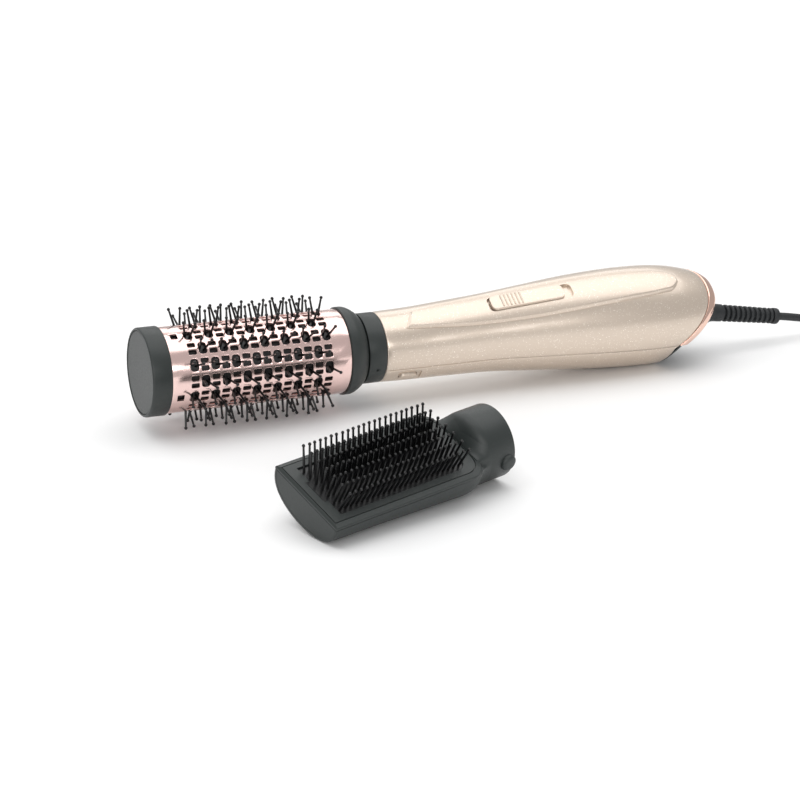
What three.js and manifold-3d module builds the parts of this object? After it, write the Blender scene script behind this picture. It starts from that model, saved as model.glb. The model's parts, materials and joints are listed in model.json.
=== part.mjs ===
// Hot air brush with a round barrel head fitted and a flat brush head beside it.
// Millimetres, +Z up. The brush lies along X: cap at low x, cord at high x.
import * as THREE from "three";
import { mergeVertices } from "three/addons/utils/BufferGeometryUtils.js";
import Module from "manifold-3d";

const wasm = await Module();
wasm.setup();

// ---- driving dimensions -------------------------------------------------
const GAP = 0.3; // clearance between touching pieces
const FRONT_AXIS_HEIGHT = 35.9; // brush axis above the table at the cap face
const DROOP = THREE.MathUtils.degToRad(1.5); // the handle end lies lower

const HANDLE_ROLL = THREE.MathUtils.degToRad(30); // the handle lies rolled to the near side

// Round head
const BARREL_R = 25;
const BARREL_WALL = 1.2;
const BARREL_START = 12.1;
const BARREL_END = 120.6;
const CAP_R = 25.9;
const ROWS = 16; // rows of holes around the barrel
const HOLES_PER_ROW = 7;
const HOLE_PITCH = 12.5;
const HOLE_LENGTH = 5.3;
const HOLE_WIDTH = 7.2;
const FIRST_HOLE = 25.5;
const BRISTLE_TIP_R = 36.6;
const BRISTLE_R = 0.9;
const BRISTLE_ROOT_R = 22;
const STRIP_OUTER_R = 23; // bristle carriers, just inside the barrel
const STRIP_INNER_R = 20.8;
const STRIP_ENDS = [15, 117.6];
const STRIP_HALF_ANGLE = 0.365;
const NECK_R = 20.8;
const AIR_CORE_R = 14.2;

// Handle
const SPIGOT_R = 17.3;
const HANDLE_SHIFT = -7; // the handle frame starts this far from the cap face
const HANDLE_START = 151.8;
const HANDLE_END = 361;
const CASING_WALL = 2.2;
const SEAM_ANGLE = THREE.MathUtils.degToRad(5); // seam above the side line
const SIDE_SWEEP = 25; // the rear rim lies this far forward at the sides
const LOW_SWEEP = 28; // and this far forward underneath
const SWEEP_START = 312; // where the rear end begins to swing forward
const TRIM_WIDTH = 6; // along the handle
const REAR_FACE = 370;
const SWITCH_X = 242;
const SWITCH_HEIGHT = 28.9;
const SWITCH_TILT = 0.105; // the panel rises toward the cord
const GRIP_RIDGES = 6;
const BUTTON_X = 166.5;
const BUTTON_TURN = -1.36; // the button is on the near side, just under the seam
const SCREWS = [
  [258, -22.6],
  [326, -26.2],
]; // x, z of each head, in bores under the handle
const SCREW_BORE_R = 2.1;

// Raised leaf-shaped panel on top: half its width, as an angle, at each x.
const PANEL_X = [168, 186, 205, 225, 248, 276, 300, 320, 334, 341];
const PANEL_HALF = [0.27, 0.36, 0.42, 0.43, 0.42, 0.38, 0.34, 0.31, 0.26, 0.14];
const PANEL_PROUD = 2;

// Fan and motor
const MOTOR_R = 13.6;
const SHAFT_R = 1.3;
const FAN_R = 21.2;
const FAN_BLADES = 7;

// Heater
const HEATER_WIRE_R = 13.6; // middle of the winding
const HEATER_TURNS = 8;

// Cord and plug
const RELIEF_START = 357;
const RELIEF_LENGTH = 57;
const RELIEF_TILT = 0.155; // the cord's weight bends the relief down
const CORD_R = 2.4;
const COIL_RING_R = 32;
const COIL_HALF = 7.5; // half the bundle of turns, across and up
const COIL_CENTRE = [536, -24]; // x, y on the table
const PIN_SPACING = 19;
const PIN_LENGTH = 19;
const PIN_R = 2;

// Flat head
const FLAT_LENGTH = 105;
const FLAT_WIDTH = 55.5;
const FLAT_DEPTH = 18.3;
const FLAT_COLLAR_R = 21;
const FLAT_COLLAR_LENGTH = 24.5;
const FLAT_COLLAR_DROP = 6.3; // the collar's axis lies below the pad's edge
const FLAT_WALL = 1.8;
const FLAT_BORE_R = 17.6;
const FLAT_ROWS = 7;
const FLAT_BRISTLES = 23;
const FLAT_BRISTLE_PITCH = 3.8;
const FLAT_BRISTLE_LENGTH = 17.5;
const FLAT_FAN = 0.3; // lean of the outer rows, in radians
const LATCH_TURN = -1.65; // the latch boss, on the near side of the collar
const FLAT_PLACE = [34.8, -178]; // middle of the pad's end edge, on the table
const FLAT_YAW = THREE.MathUtils.degToRad(16.7);
const FLAT_RISE = THREE.MathUtils.degToRad(3.2);
const FLAT_ROLL = THREE.MathUtils.degToRad(21);

// Handle profile: x, radius, lift of the section's centre.
const HANDLE_PROFILE = [
  [151.8, 20.7, 0],
  [155, 21.0, 0],
  [175, 21.5, 0.3],
  [193, 22.2, 1.2],
  [220, 23.5, 2.4],
  [248, 26.0, 3.1],
  [276, 28.5, 3.6],
  [304, 30.1, 3.4],
  [328, 30.2, 2.8],
  [342, 29.0, 2.3],
  [352, 27.2, 1.8],
  [359, 25.2, 1.6],
  [366, 22.4, 1.2],
  [368, 21.2, 1.0],
];

// ---- materials ----------------------------------------------------------
function coat(colour, roughness, metalness) {
  return new THREE.MeshStandardMaterial({ color: colour, roughness, metalness });
}
const champagne = coat(0xb59a80, 0.38, 0.6);
const roseChrome = coat(0xd9a58c, 0.12, 1);
const roseGloss = coat(0xb98372, 0.18, 0.85);
const darkPlastic = coat(0x2c302f, 0.5, 0);
const blackNylon = coat(0x0c0c0d, 0.55, 0);
const cordRubber = coat(0x2b2d2f, 0.6, 0);
const whitePlastic = coat(0xd8d6cf, 0.5, 0);
const steel = coat(0xa8abae, 0.3, 1);
const brass = coat(0xc9a24b, 0.3, 1);
const mica = coat(0xc8b98f, 0.7, 0);
const boardGreen = coat(0x1d5a36, 0.5, 0);
const copper = coat(0xb8703e, 0.3, 1);

// ---- geometry helpers ---------------------------------------------------
// One closed surface with merged corners and faces pointing out.
function closed(geometry) {
  const plain = new THREE.BufferGeometry();
  plain.setAttribute("position", geometry.attributes.position.clone());
  if (geometry.index) {
    plain.setIndex(geometry.index.clone());
  }
  const merged = mergeVertices(plain, 1e-4);
  const p = merged.attributes.position;
  const kept = [];
  let volume = 0;
  const a = new THREE.Vector3();
  const b = new THREE.Vector3();
  const c = new THREE.Vector3();
  for (let i = 0; i < merged.index.count; i += 3) {
    const i0 = merged.index.getX(i);
    const i1 = merged.index.getX(i + 1);
    const i2 = merged.index.getX(i + 2);
    if (i0 === i1 || i1 === i2 || i0 === i2) {
      continue;
    }
    a.fromBufferAttribute(p, i0);
    b.fromBufferAttribute(p, i1);
    c.fromBufferAttribute(p, i2);
    volume += a.dot(b.cross(c));
    kept.push(i0, i1, i2);
  }
  if (volume < 0) {
    for (let i = 0; i < kept.length; i += 3) {
      const swap = kept[i + 1];
      kept[i + 1] = kept[i + 2];
      kept[i + 2] = swap;
    }
  }
  merged.setIndex(kept);
  return merged;
}

function toSolid(geometry) {
  const g = closed(geometry);
  return new wasm.Manifold(
    new wasm.Mesh({
      numProp: 3,
      vertProperties: new Float32Array(g.attributes.position.array),
      triVerts: new Uint32Array(g.index.array),
    }),
  );
}

function fromSolid(solid) {
  const mesh = solid.getMesh();
  const g = new THREE.BufferGeometry();
  g.setAttribute("position", new THREE.BufferAttribute(new Float32Array(mesh.vertProperties), 3));
  g.setIndex(Array.from(mesh.triVerts));
  return g;
}

function cut(body, tools) {
  let solid = toSolid(body);
  for (const tool of tools) {
    solid = solid.subtract(toSolid(tool));
  }
  return fromSolid(solid);
}

function join(pieces) {
  let solid = toSolid(pieces[0]);
  for (const piece of pieces.slice(1)) {
    solid = solid.add(toSolid(piece));
  }
  return fromSolid(solid);
}

// A ring or disc turned about the X axis from [x, radius] corners.
function turned(corners, segments = 32) {
  const points = corners.map(([x, r]) => new THREE.Vector2(r, x));
  points.push(points[0].clone());
  return new THREE.LatheGeometry(points, segments).rotateZ(-Math.PI / 2);
}

function tube(x0, x1, outer, inner, segments = 32) {
  const corners = [
    [x0, inner],
    [x0, outer],
    [x1, outer],
    [x1, inner],
  ];
  return turned(corners, segments);
}

function rod(x0, x1, radius, segments = 24) {
  const g = new THREE.CylinderGeometry(radius, radius, x1 - x0, segments);
  return g.rotateZ(-Math.PI / 2).translate((x0 + x1) / 2, 0, 0);
}

function block(x0, x1, y0, y1, z0, z1) {
  const g = new THREE.BoxGeometry(x1 - x0, y1 - y0, z1 - z0);
  return g.translate((x0 + x1) / 2, (y0 + y1) / 2, (z0 + z1) / 2);
}

// A sheet with thickness between two grids of points, wrapped round when ring is true.
function sheet(outer, inner, ring) {
  const rows = outer.length;
  const cols = outer[0].length;
  const position = [];
  for (const grid of [outer, inner]) {
    for (const line of grid) {
      for (const q of line) {
        position.push(q[0], q[1], q[2]);
      }
    }
  }
  const at = (side, i, j) => side * rows * cols + i * cols + (j % cols);
  const index = [];
  const quad = (a, b, c, d) => index.push(a, b, c, a, c, d);
  const span = ring ? cols : cols - 1;
  for (let j = 0; j < span; j += 1) {
    for (let i = 0; i < rows - 1; i += 1) {
      quad(at(0, i, j), at(0, i, j + 1), at(0, i + 1, j + 1), at(0, i + 1, j));
      quad(at(1, i, j), at(1, i + 1, j), at(1, i + 1, j + 1), at(1, i, j + 1));
    }
    quad(at(0, 0, j), at(1, 0, j), at(1, 0, j + 1), at(0, 0, j + 1));
    const e = rows - 1;
    quad(at(0, e, j), at(0, e, j + 1), at(1, e, j + 1), at(1, e, j));
  }
  if (!ring) {
    const e = cols - 1;
    for (let i = 0; i < rows - 1; i += 1) {
      quad(at(0, i, 0), at(0, i + 1, 0), at(1, i + 1, 0), at(1, i, 0));
      quad(at(0, i, e), at(1, i, e), at(1, i + 1, e), at(0, i + 1, e));
    }
  }
  const g = new THREE.BufferGeometry();
  g.setAttribute("position", new THREE.Float32BufferAttribute(position, 3));
  g.setIndex(index);
  return g;
}

// A round bar along a list of points.
function barAlong(points, radius, steps, sides = 8) {
  const path = new THREE.CatmullRomCurve3(points.map((q) => new THREE.Vector3(...q)));
  const shape = new THREE.Shape();
  for (let k = 0; k < sides; k += 1) {
    const t = (2 * Math.PI * k) / sides;
    const x = radius * Math.cos(t);
    const y = radius * Math.sin(t);
    if (k === 0) {
      shape.moveTo(x, y);
    } else {
      shape.lineTo(x, y);
    }
  }
  shape.closePath();
  return new THREE.ExtrudeGeometry(shape, { steps, extrudePath: path, bevelEnabled: false });
}

function spread(from, to, count) {
  return Array.from({ length: count }, (_, k) => from + ((to - from) * k) / (count - 1));
}

const brush = new THREE.Group();
brush.rotation.y = DROOP;
brush.position.z = FRONT_AXIS_HEIGHT;
const handle = new THREE.Group();
handle.rotation.x = HANDLE_ROLL;
handle.position.x = HANDLE_SHIFT;
brush.add(handle);

function piece(group, name, geometry, material) {
  const g = closed(geometry).toNonIndexed();
  g.computeVertexNormals();
  const mesh = new THREE.Mesh(g, material);
  mesh.name = name;
  group.add(mesh);
  return mesh;
}

// ---- round head ---------------------------------------------------------
function frontCapRing() {
  const corners = [
    [0, 24.5],
    [0, 25.4],
    [0.6, CAP_R],
    [11.8, CAP_R],
    [11.8, 23.5],
    [14.6, 23.5],
    [14.6, 21.6],
    [1.8, 21.6],
    [1.8, 24.5],
  ];
  piece(brush, "front_cap_ring", turned(corners, 28), darkPlastic);
}

function frontCapDisc() {
  const corners = [
    [0.3, 0],
    [0.3, 24.2],
    [1.5, 24.2],
    [1.5, 21.3],
    [5, 21.3],
    [5, 0],
  ];
  piece(brush, "front_cap_disc", turned(corners, 28), darkPlastic);
}

function holeCentre(row, k) {
  return FIRST_HOLE + HOLE_PITCH * (k + (1 - (row % 2)) / 2);
}

function rowAngle(row) {
  return (2 * Math.PI * row) / ROWS;
}

function barrel() {
  const body = tube(BARREL_START, BARREL_END, BARREL_R, BARREL_R - BARREL_WALL, 32);
  const tools = [];
  for (let row = 0; row < ROWS; row += 1) {
    for (let k = 0; k < HOLES_PER_ROW; k += 1) {
      const x = holeCentre(row, k);
      const hole = new THREE.BoxGeometry(HOLE_LENGTH, HOLE_WIDTH, 8);
      hole.translate(x, 0, BARREL_R).rotateX(rowAngle(row));
      tools.push(hole);
    }
  }
  piece(brush, "barrel", cut(body, tools), roseGloss);
}

// The lowest a bristle may reach, so that it meets the table and not beyond.
function aboveTable(point) {
  const world = point.clone().applyAxisAngle(new THREE.Vector3(0, 1, 0), DROOP);
  const low = 0.55 - (world.z + FRONT_AXIS_HEIGHT);
  return low > 0 ? low : 0;
}

function bristle(from, to, radius) {
  const along = to.clone().sub(from);
  const g = new THREE.CylinderGeometry(radius * 0.8, radius, along.length(), 3);
  const turn = new THREE.Quaternion().setFromUnitVectors(
    new THREE.Vector3(0, 1, 0),
    along.clone().normalize(),
  );
  g.applyQuaternion(turn);
  const middle = from.clone().add(to).multiplyScalar(0.5);
  return g.translate(middle.x, middle.y, middle.z);
}

function bristleStrips() {
  for (let s = 0; s < ROWS / 2; s += 1) {
    const first = 2 * s;
    const mid = (rowAngle(first) + rowAngle(first + 1)) / 2;
    const angles = spread(mid - STRIP_HALF_ANGLE, mid + STRIP_HALF_ANGLE, 7);
    const ring = (x, r) => angles.map((t) => [x, -r * Math.sin(t), r * Math.cos(t)]);
    const outer = STRIP_ENDS.map((x) => ring(x, STRIP_OUTER_R));
    const inner = STRIP_ENDS.map((x) => ring(x, STRIP_INNER_R));
    const pieces = [sheet(outer, inner, false)];
    for (const row of [first, first + 1]) {
      const t = rowAngle(row);
      for (let k = 0; k < HOLES_PER_ROW; k += 1) {
        const x = holeCentre(row, k);
        const at = (r) => new THREE.Vector3(x, -r * Math.sin(t), r * Math.cos(t));
        const from = at(BRISTLE_ROOT_R);
        const to = at(BRISTLE_TIP_R);
        to.z += aboveTable(to);
        pieces.push(bristle(from, to, BRISTLE_R));
      }
    }
    piece(brush, `bristle_strip_${s + 1}`, join(pieces), blackNylon);
  }
}

function rearCollar() {
  const corners = [
    [118, 14.6],
    [118, 23.5],
    [120.9, 23.5],
    [120.9, CAP_R],
    [125, CAP_R],
    [128, 24.8],
    [131, 22.7],
    [132.6, 21],
    [132.6, 18.9],
    [122.4, 18.9],
    [122.4, 14.6],
  ];
  piece(brush, "rear_collar", turned(corners, 28), darkPlastic);
}

function neckSleeve() {
  const corners = [
    [122.8, 17.6],
    [122.8, 18.6],
    [133.6, 18.6],
    [133.6, 20.3],
    [134.2, NECK_R],
    [144.5, NECK_R],
    [144.5, 17.6],
  ];
  piece(brush, "neck_sleeve", turned(corners, 28), darkPlastic);
}

// Closed-ended core that turns the air outward through the barrel.
function airCore() {
  const body = turned(
    [
      [15, 0],
      [15, AIR_CORE_R],
      [122.3, AIR_CORE_R],
      [122.3, 12.8],
      [16.6, 12.8],
      [16.6, 0],
    ],
    24,
  );
  const tools = [];
  for (let k = 0; k < 4; k += 1) {
    for (const turn of [0, Math.PI / 2]) {
      tools.push(block(22 + 26 * k, 36 + 26 * k, -3, 3, -20, 20).rotateX(turn));
    }
  }
  piece(brush, "air_core", cut(body, tools), whitePlastic);
}

// ---- handle -------------------------------------------------------------
function profileAt(x) {
  const table = HANDLE_PROFILE;
  if (x <= table[0][0]) {
    return [table[0][1], table[0][2]];
  }
  for (let i = 1; i < table.length; i += 1) {
    if (x <= table[i][0]) {
      const f = (x - table[i - 1][0]) / (table[i][0] - table[i - 1][0]);
      const r = table[i - 1][1] + f * (table[i][1] - table[i - 1][1]);
      const lift = table[i - 1][2] + f * (table[i][2] - table[i - 1][2]);
      return [r, lift];
    }
  }
  const last = table[table.length - 1];
  return [last[1], last[2]];
}

// How far the rear rim sweeps forward round the section, from none at the top.
function sweep(angle) {
  const up = Math.sin(angle);
  if (up > 0) {
    return SIDE_SWEEP * Math.pow(1 - up, 1.35);
  }
  return SIDE_SWEEP + (LOW_SWEEP - SIDE_SWEEP) * THREE.MathUtils.smoothstep(-up, 0, 0.5);
}

// A point on the handle's skin, inset by depth. Angle 0 is +y, pi/2 is up.
function skin(x, angle, depth) {
  const ramp = THREE.MathUtils.smoothstep(x, SWEEP_START, HANDLE_END);
  const at = x - ramp * sweep(angle);
  const [r, lift] = profileAt(at);
  return [at, (r - depth) * Math.cos(angle), (r - depth) * Math.sin(angle) + lift];
}

function casingStations(from) {
  const inner = [155, 175, 193, 220, 248, 276, 304, 328, 342];
  return [from, ...inner.filter((x) => x > from + 1), HANDLE_END];
}

function upperCasing() {
  const edge = 0.006;
  const angles = spread(SEAM_ANGLE + edge, Math.PI - SEAM_ANGLE - edge, 17);
  const stations = casingStations(HANDLE_START);
  const outer = stations.map((x) => angles.map((t) => skin(x, t, 0)));
  const inner = stations.map((x) => angles.map((t) => skin(x, t, CASING_WALL)));
  const body = sheet(outer, inner, false);
  const switchWell = block(234, 254, -3.2, 3.2, 18, 40);
  piece(handle, "upper_casing", cut(body, [switchWell]), champagne);
}

function lowerCasing() {
  const edge = 0.006;
  const angles = spread(Math.PI - SEAM_ANGLE + edge, 2 * Math.PI + SEAM_ANGLE - edge, 17);
  const stations = casingStations(HANDLE_START);
  const outer = stations.map((x) => angles.map((t) => skin(x, t, 0)));
  const inner = stations.map((x) => angles.map((t) => skin(x, t, CASING_WALL)));
  const body = sheet(outer, inner, false);
  const well = block(159, 174, -4.2, 4.2, -30, -14).rotateX(BUTTON_TURN);
  const bores = SCREWS.map(([x, z]) => {
    const bore = new THREE.CylinderGeometry(SCREW_BORE_R, SCREW_BORE_R, 12, 12);
    return bore.rotateX(Math.PI / 2).translate(x, 0, z);
  });
  piece(handle, "lower_casing", cut(body, [well, ...bores]), champagne);
}

function topPanel() {
  const grid = (depth) =>
    PANEL_X.map((x, i) => {
      const half = PANEL_HALF[i];
      return spread(Math.PI / 2 - half, Math.PI / 2 + half, 9).map((t) => skin(x, t, depth));
    });
  const slot = block(217.5, 270.5, -5.6, 5.6, 18, 45);
  const body = sheet(grid(-PANEL_PROUD), grid(-0.7), false);
  piece(handle, "top_panel", cut(body, [slot]), champagne);
}

function powerSwitch() {
  const plate = block(-23, 23, -5.2, 5.2, 0.5, 2.5);
  const stem = block(-6, 6, -2.5, 2.5, -8, 0.6);
  const pieces = [plate, stem];
  for (let k = 0; k < GRIP_RIDGES; k += 1) {
    pieces.push(block(-16.5 + 2.4 * k, -15.4 + 2.4 * k, -4.6, 4.6, 2.4, 3.2));
  }
  const body = join(pieces).rotateY(-SWITCH_TILT).translate(SWITCH_X, 0, SWITCH_HEIGHT);
  piece(handle, "power_switch", body, champagne);
}

function releaseButton() {
  const head = new THREE.CylinderGeometry(3.1, 3.1, 4.2, 20).scale(1.75, 1, 1);
  head.rotateX(Math.PI / 2).translate(BUTTON_X, 0, -20.3);
  const stem = new THREE.CylinderGeometry(1.1, 1.1, 2, 10);
  stem.rotateX(Math.PI / 2).translate(BUTTON_X, 0, -17.4);
  const body = join([head, stem]).rotateX(BUTTON_TURN);
  piece(handle, "release_button", body, darkPlastic);
}

function outletSpigot() {
  const body = turned(
    [
      [130, 15.4],
      [130, SPIGOT_R - 0.6],
      [130.6, SPIGOT_R],
      [152, SPIGOT_R],
      [152, 17.8],
      [157, 17.8],
      [157, 15.4],
    ],
    32,
  );
  piece(handle, "outlet_spigot", body, darkPlastic);
}

function trimRing() {
  const angles = spread(SEAM_ANGLE, Math.PI - SEAM_ANGLE, 19);
  const start = HANDLE_END + 2 * GAP;
  const stations = [start, start + 1, start + TRIM_WIDTH];
  const rise = [0, -0.3, -0.1];
  const outer = stations.map((x, i) => angles.map((t) => skin(x, t, rise[i])));
  const inner = stations.map((x) => angles.map((t) => skin(x, t, 2.4)));
  piece(handle, "trim_ring", sheet(outer, inner, false), roseChrome);
}

// Slatted cover over the air intake at the rear end.
function rearCap() {
  const angles = spread(0, 2 * Math.PI, 21).slice(0, 20);
  const middle = [REAR_FACE, 0, 1];
  const dome = (t, f) => {
    const behindRing = Math.sin(t) > -0.1;
    const end = HANDLE_END + TRIM_WIDTH + 2 * GAP;
    const rim = behindRing ? skin(end, t, 3.1) : skin(HANDLE_END + 0.5, t, 0.2);
    const low = 0.5 - 0.5 * Math.sin(t);
    const swell = 6.5 * low * Math.sin(Math.PI * f);
    return rim.map((v, i) => v + (middle[i] - v) * f + (i === 0 ? swell : 0));
  };
  const outer = [0, 0.18, 0.4, 0.64].map((f) => angles.map((t) => dome(t, f)));
  const inner = outer.map((line, i) => {
    return line.map(([x, y, z]) => [i === 0 ? x : x - 2, y * 0.91, z * 0.91 + 0.08]);
  });
  const slats = [];
  for (const side of [-1, 1]) {
    for (let k = 0; k < 3; k += 1) {
      const z = side * (10.2 + 2.6 * k) + 1;
      slats.push(block(352, 390, -13 + k * 1.8, 13 - k * 1.8, z - 0.8, z + 0.8));
    }
  }
  piece(handle, "rear_cap", cut(sheet(outer, inner, true), slats), darkPlastic);
}

function filterMesh() {
  const body = turned(
    [
      [330, 4],
      [330, 25],
      [331, 25],
      [331, 4],
    ],
    24,
  );
  piece(handle, "filter_mesh", body.translate(0, 0, 1), steel);
}

// Ribbed sleeve that carries the cord out of the handle.
function strainRelief() {
  const corners = [
    [0, CORD_R + GAP],
    [0, 6.2],
    [8, 6.2],
    [10, 5.4],
    [24, 5.0],
  ];
  for (let k = 0; k < 8; k += 1) {
    const x = 25.5 + 3.5 * k;
    const r = 4.9 - 0.05 * k;
    corners.push([x, 3.8], [x + 0.6, r], [x + 2.2, r], [x + 2.8, 3.8]);
  }
  corners.push([54, 4.3], [RELIEF_LENGTH, 4.3], [RELIEF_LENGTH, CORD_R + GAP]);
  const relief = piece(brush, "strain_relief", turned(corners, 12), cordRubber);
  relief.rotation.y = RELIEF_TILT;
  relief.position.x = RELIEF_START;
}

// ---- working parts inside the handle ------------------------------------
function motorParts() {
  const can = join([rod(300, 326, MOTOR_R, 24), rod(296, 300.5, 5, 16)]);
  piece(handle, "motor", cut(can, [rod(290, 330, SHAFT_R + GAP, 12)]), steel);
  const arms = [tube(304, 322, 16, MOTOR_R + GAP, 24)];
  for (let k = 0; k < 4; k += 1) {
    arms.push(block(308, 318, -1.2, 1.2, 15.6, 24.6).rotateX((k * Math.PI) / 2 + Math.PI / 4));
  }
  piece(handle, "motor_mount", join(arms), whitePlastic);
}

// Fan with its shaft, turning in the motor's bore.
function fan() {
  const pieces = [rod(282, 329, SHAFT_R, 12), rod(283, 294, 6.5, 18)];
  for (let k = 0; k < FAN_BLADES; k += 1) {
    const blade = block(284, 293, -0.6, 0.6, 5.8, FAN_R);
    pieces.push(blade.rotateX((2 * Math.PI * k) / FAN_BLADES));
  }
  piece(handle, "fan", join(pieces), whitePlastic);
}

function heater() {
  const vanes = join([block(176, 246, -0.5, 0.5, -11, 11), block(176, 246, -11, 11, -0.5, 0.5)]);
  piece(handle, "heater_frame", vanes, mica);
  const points = [];
  const stepsPerTurn = 8;
  const steps = HEATER_TURNS * stepsPerTurn;
  const r = HEATER_WIRE_R;
  for (let k = 0; k <= steps; k += 1) {
    const t = (2 * Math.PI * k) / stepsPerTurn;
    points.push([180 + (62 * k) / steps, r * Math.cos(t), r * Math.sin(t)]);
  }
  piece(handle, "heater_wire", barAlong(points, 0.6, steps, 4), copper);
  piece(handle, "heater_sleeve", tube(170, 252, 15.8, 15.1, 28), mica);
  piece(handle, "air_duct", tube(157.4, 169.6, 13.9, 12.9, 24), whitePlastic);
}

function electrics() {
  piece(handle, "thermal_cutout", block(252.5, 262, -3.5, 3.5, -3, 3), steel);
  piece(handle, "circuit_board", block(266, 280, -13, 13, -9.4, -7.8), boardGreen);
  piece(handle, "switch_body", block(235, 250, -5, 5, 16.4, 20.2), darkPlastic);
}

function screws() {
  for (const [n, [x, z]] of SCREWS.entries()) {
    const shank = new THREE.CylinderGeometry(1.2, 1.2, 9, 10);
    shank.rotateX(Math.PI / 2).translate(x, 0, z + 4.6);
    const head = new THREE.CylinderGeometry(1.8, 1.8, 1.4, 12);
    head.rotateX(Math.PI / 2).translate(x, 0, z);
    piece(handle, `casing_screw_${n + 1}`, join([shank, head]), steel);
  }
}

function releaseSpring() {
  const body = new THREE.CylinderGeometry(0.95, 0.95, 1.8, 10);
  body.rotateX(Math.PI / 2).translate(BUTTON_X, 0, -15.1).rotateX(BUTTON_TURN);
  piece(handle, "release_spring", body, steel);
}

// ---- cord and plug ------------------------------------------------------
const cordGroup = new THREE.Group();

function cordAndPlug() {
  const slope = DROOP + RELIEF_TILT;
  const x0 = RELIEF_START * Math.cos(DROOP);
  const z0 = FRONT_AXIS_HEIGHT - RELIEF_START * Math.sin(DROOP);
  const onRelief = (d) => [x0 + d * Math.cos(slope), 0, z0 - d * Math.sin(slope)];
  const [cx, cy] = COIL_CENTRE;
  const y = cy + COIL_RING_R + COIL_HALF - CORD_R; // both ends run along the ring's outer turn
  const floor = CORD_R + 0.2;
  const points = [
    onRelief(1),
    onRelief(20),
    onRelief(40),
    onRelief(RELIEF_LENGTH),
    onRelief(RELIEF_LENGTH + 10),
    [440, 1, 10.4],
    [456, 4, 5.8],
    [472, 8, 3.4],
    [490, 11.6, floor],
    [506, y, floor],
    [cx - 18.6, y, floor],
  ];
  piece(cordGroup, "cord_lead", barAlong(points, CORD_R, 26, 8), cordRubber);
  const ring = new THREE.LatheGeometry(
    [
      [COIL_RING_R - COIL_HALF, 0.2],
      [COIL_RING_R + COIL_HALF, 0.2],
      [COIL_RING_R + COIL_HALF, 2 * COIL_HALF],
      [COIL_RING_R - COIL_HALF, 2 * COIL_HALF],
      [COIL_RING_R - COIL_HALF, 0.2],
    ].map(([r, z]) => new THREE.Vector2(r, z)),
    32,
  );
  piece(cordGroup, "cord_coil", ring.rotateX(Math.PI / 2).translate(cx, cy, 0), cordRubber);
  const tail = [
    [cx + 18.6, y, 11.8],
    [cx + 30, y, 10.2],
    [cx + 43, y, 8],
    [cx + 56, y, 7],
  ];
  piece(cordGroup, "cord_tail", barAlong(tail, CORD_R, 5, 8), cordRubber);
  const nose = block(cx + 56.3, cx + 68, y - 7, y + 7, 1.2, 12.8);
  const body = block(cx + 66, cx + 92, y - 17.6, y + 17.6, 0.2, 13.9);
  piece(cordGroup, "plug_body", join([nose, body]), cordRubber);
  for (const n of [1, 2]) {
    const pin = rod(0, PIN_LENGTH, PIN_R, 12);
    pin.translate(cx + 92 + GAP, y + (n - 1.5) * PIN_SPACING, 7);
    piece(cordGroup, `plug_pin_${n}`, pin, brass);
  }
}

// ---- flat head, in its own frame: u toward its collar, n up from the pad --
const flat = new THREE.Group();

function flatSection(u, scaleWidth, scaleDepth, inset, count) {
  const a = (FLAT_WIDTH / 2) * scaleWidth - inset;
  const b = FLAT_DEPTH * scaleDepth - inset;
  return spread(0, Math.PI, count).map((t) => [
    u,
    -a * Math.cos(t),
    -b * Math.pow(Math.max(Math.sin(t), 0), 0.8),
  ]);
}

function flatShell() {
  const stations = [
    [0, 1, 1],
    [40, 1, 1.1],
    [75, 1, 1.25],
    [95, 0.99, 1.36],
    [101, 0.93, 1.4],
    [FLAT_LENGTH, 0.82, 1.42],
  ];
  const outer = stations.map(([u, w, d]) => flatSection(u, w, d, 0, 15));
  const inner = stations.map(([u, w, d]) => flatSection(u, w, d, FLAT_WALL, 15));
  piece(flat, "flat_shell", sheet(outer, inner, false), darkPlastic);
}

function flatEndCap() {
  const section = flatSection(0, 1, 1, 2.2, 15);
  const shape = new THREE.Shape(section.map(([, y, z]) => new THREE.Vector2(y, z)));
  const g = new THREE.ExtrudeGeometry(shape, { depth: 1.6, bevelEnabled: false });
  g.applyMatrix4(new THREE.Matrix4().makeBasis(
    new THREE.Vector3(0, 1, 0),
    new THREE.Vector3(0, 0, 1),
    new THREE.Vector3(1, 0, 0),
  ));
  piece(flat, "flat_end_cap", g.translate(0.4, 0, 0), darkPlastic);
}

// Frame around the bristle pad.
function flatBezel() {
  const half = FLAT_WIDTH / 2;
  const shape = new THREE.Shape();
  shape.moveTo(0, -half);
  shape.lineTo(95, -half);
  shape.quadraticCurveTo(FLAT_LENGTH - 1, -half + 1, FLAT_LENGTH, -half + 12);
  shape.lineTo(FLAT_LENGTH, half - 12);
  shape.quadraticCurveTo(FLAT_LENGTH - 1, half - 1, 95, half);
  shape.lineTo(0, half);
  shape.closePath();
  const hole = new THREE.Path();
  hole.moveTo(3.2, -half + 5);
  hole.lineTo(3.2, half - 5);
  hole.lineTo(91, half - 5);
  hole.quadraticCurveTo(99, half - 7, 99.5, half - 15);
  hole.lineTo(99.5, -half + 15);
  hole.quadraticCurveTo(99, -half + 7, 91, -half + 5);
  hole.closePath();
  shape.holes.push(hole);
  const g = new THREE.ExtrudeGeometry(shape, { depth: 2.6, bevelEnabled: false, curveSegments: 6 });
  piece(flat, "flat_bezel", g.translate(0, 0, GAP), darkPlastic);
}

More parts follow.
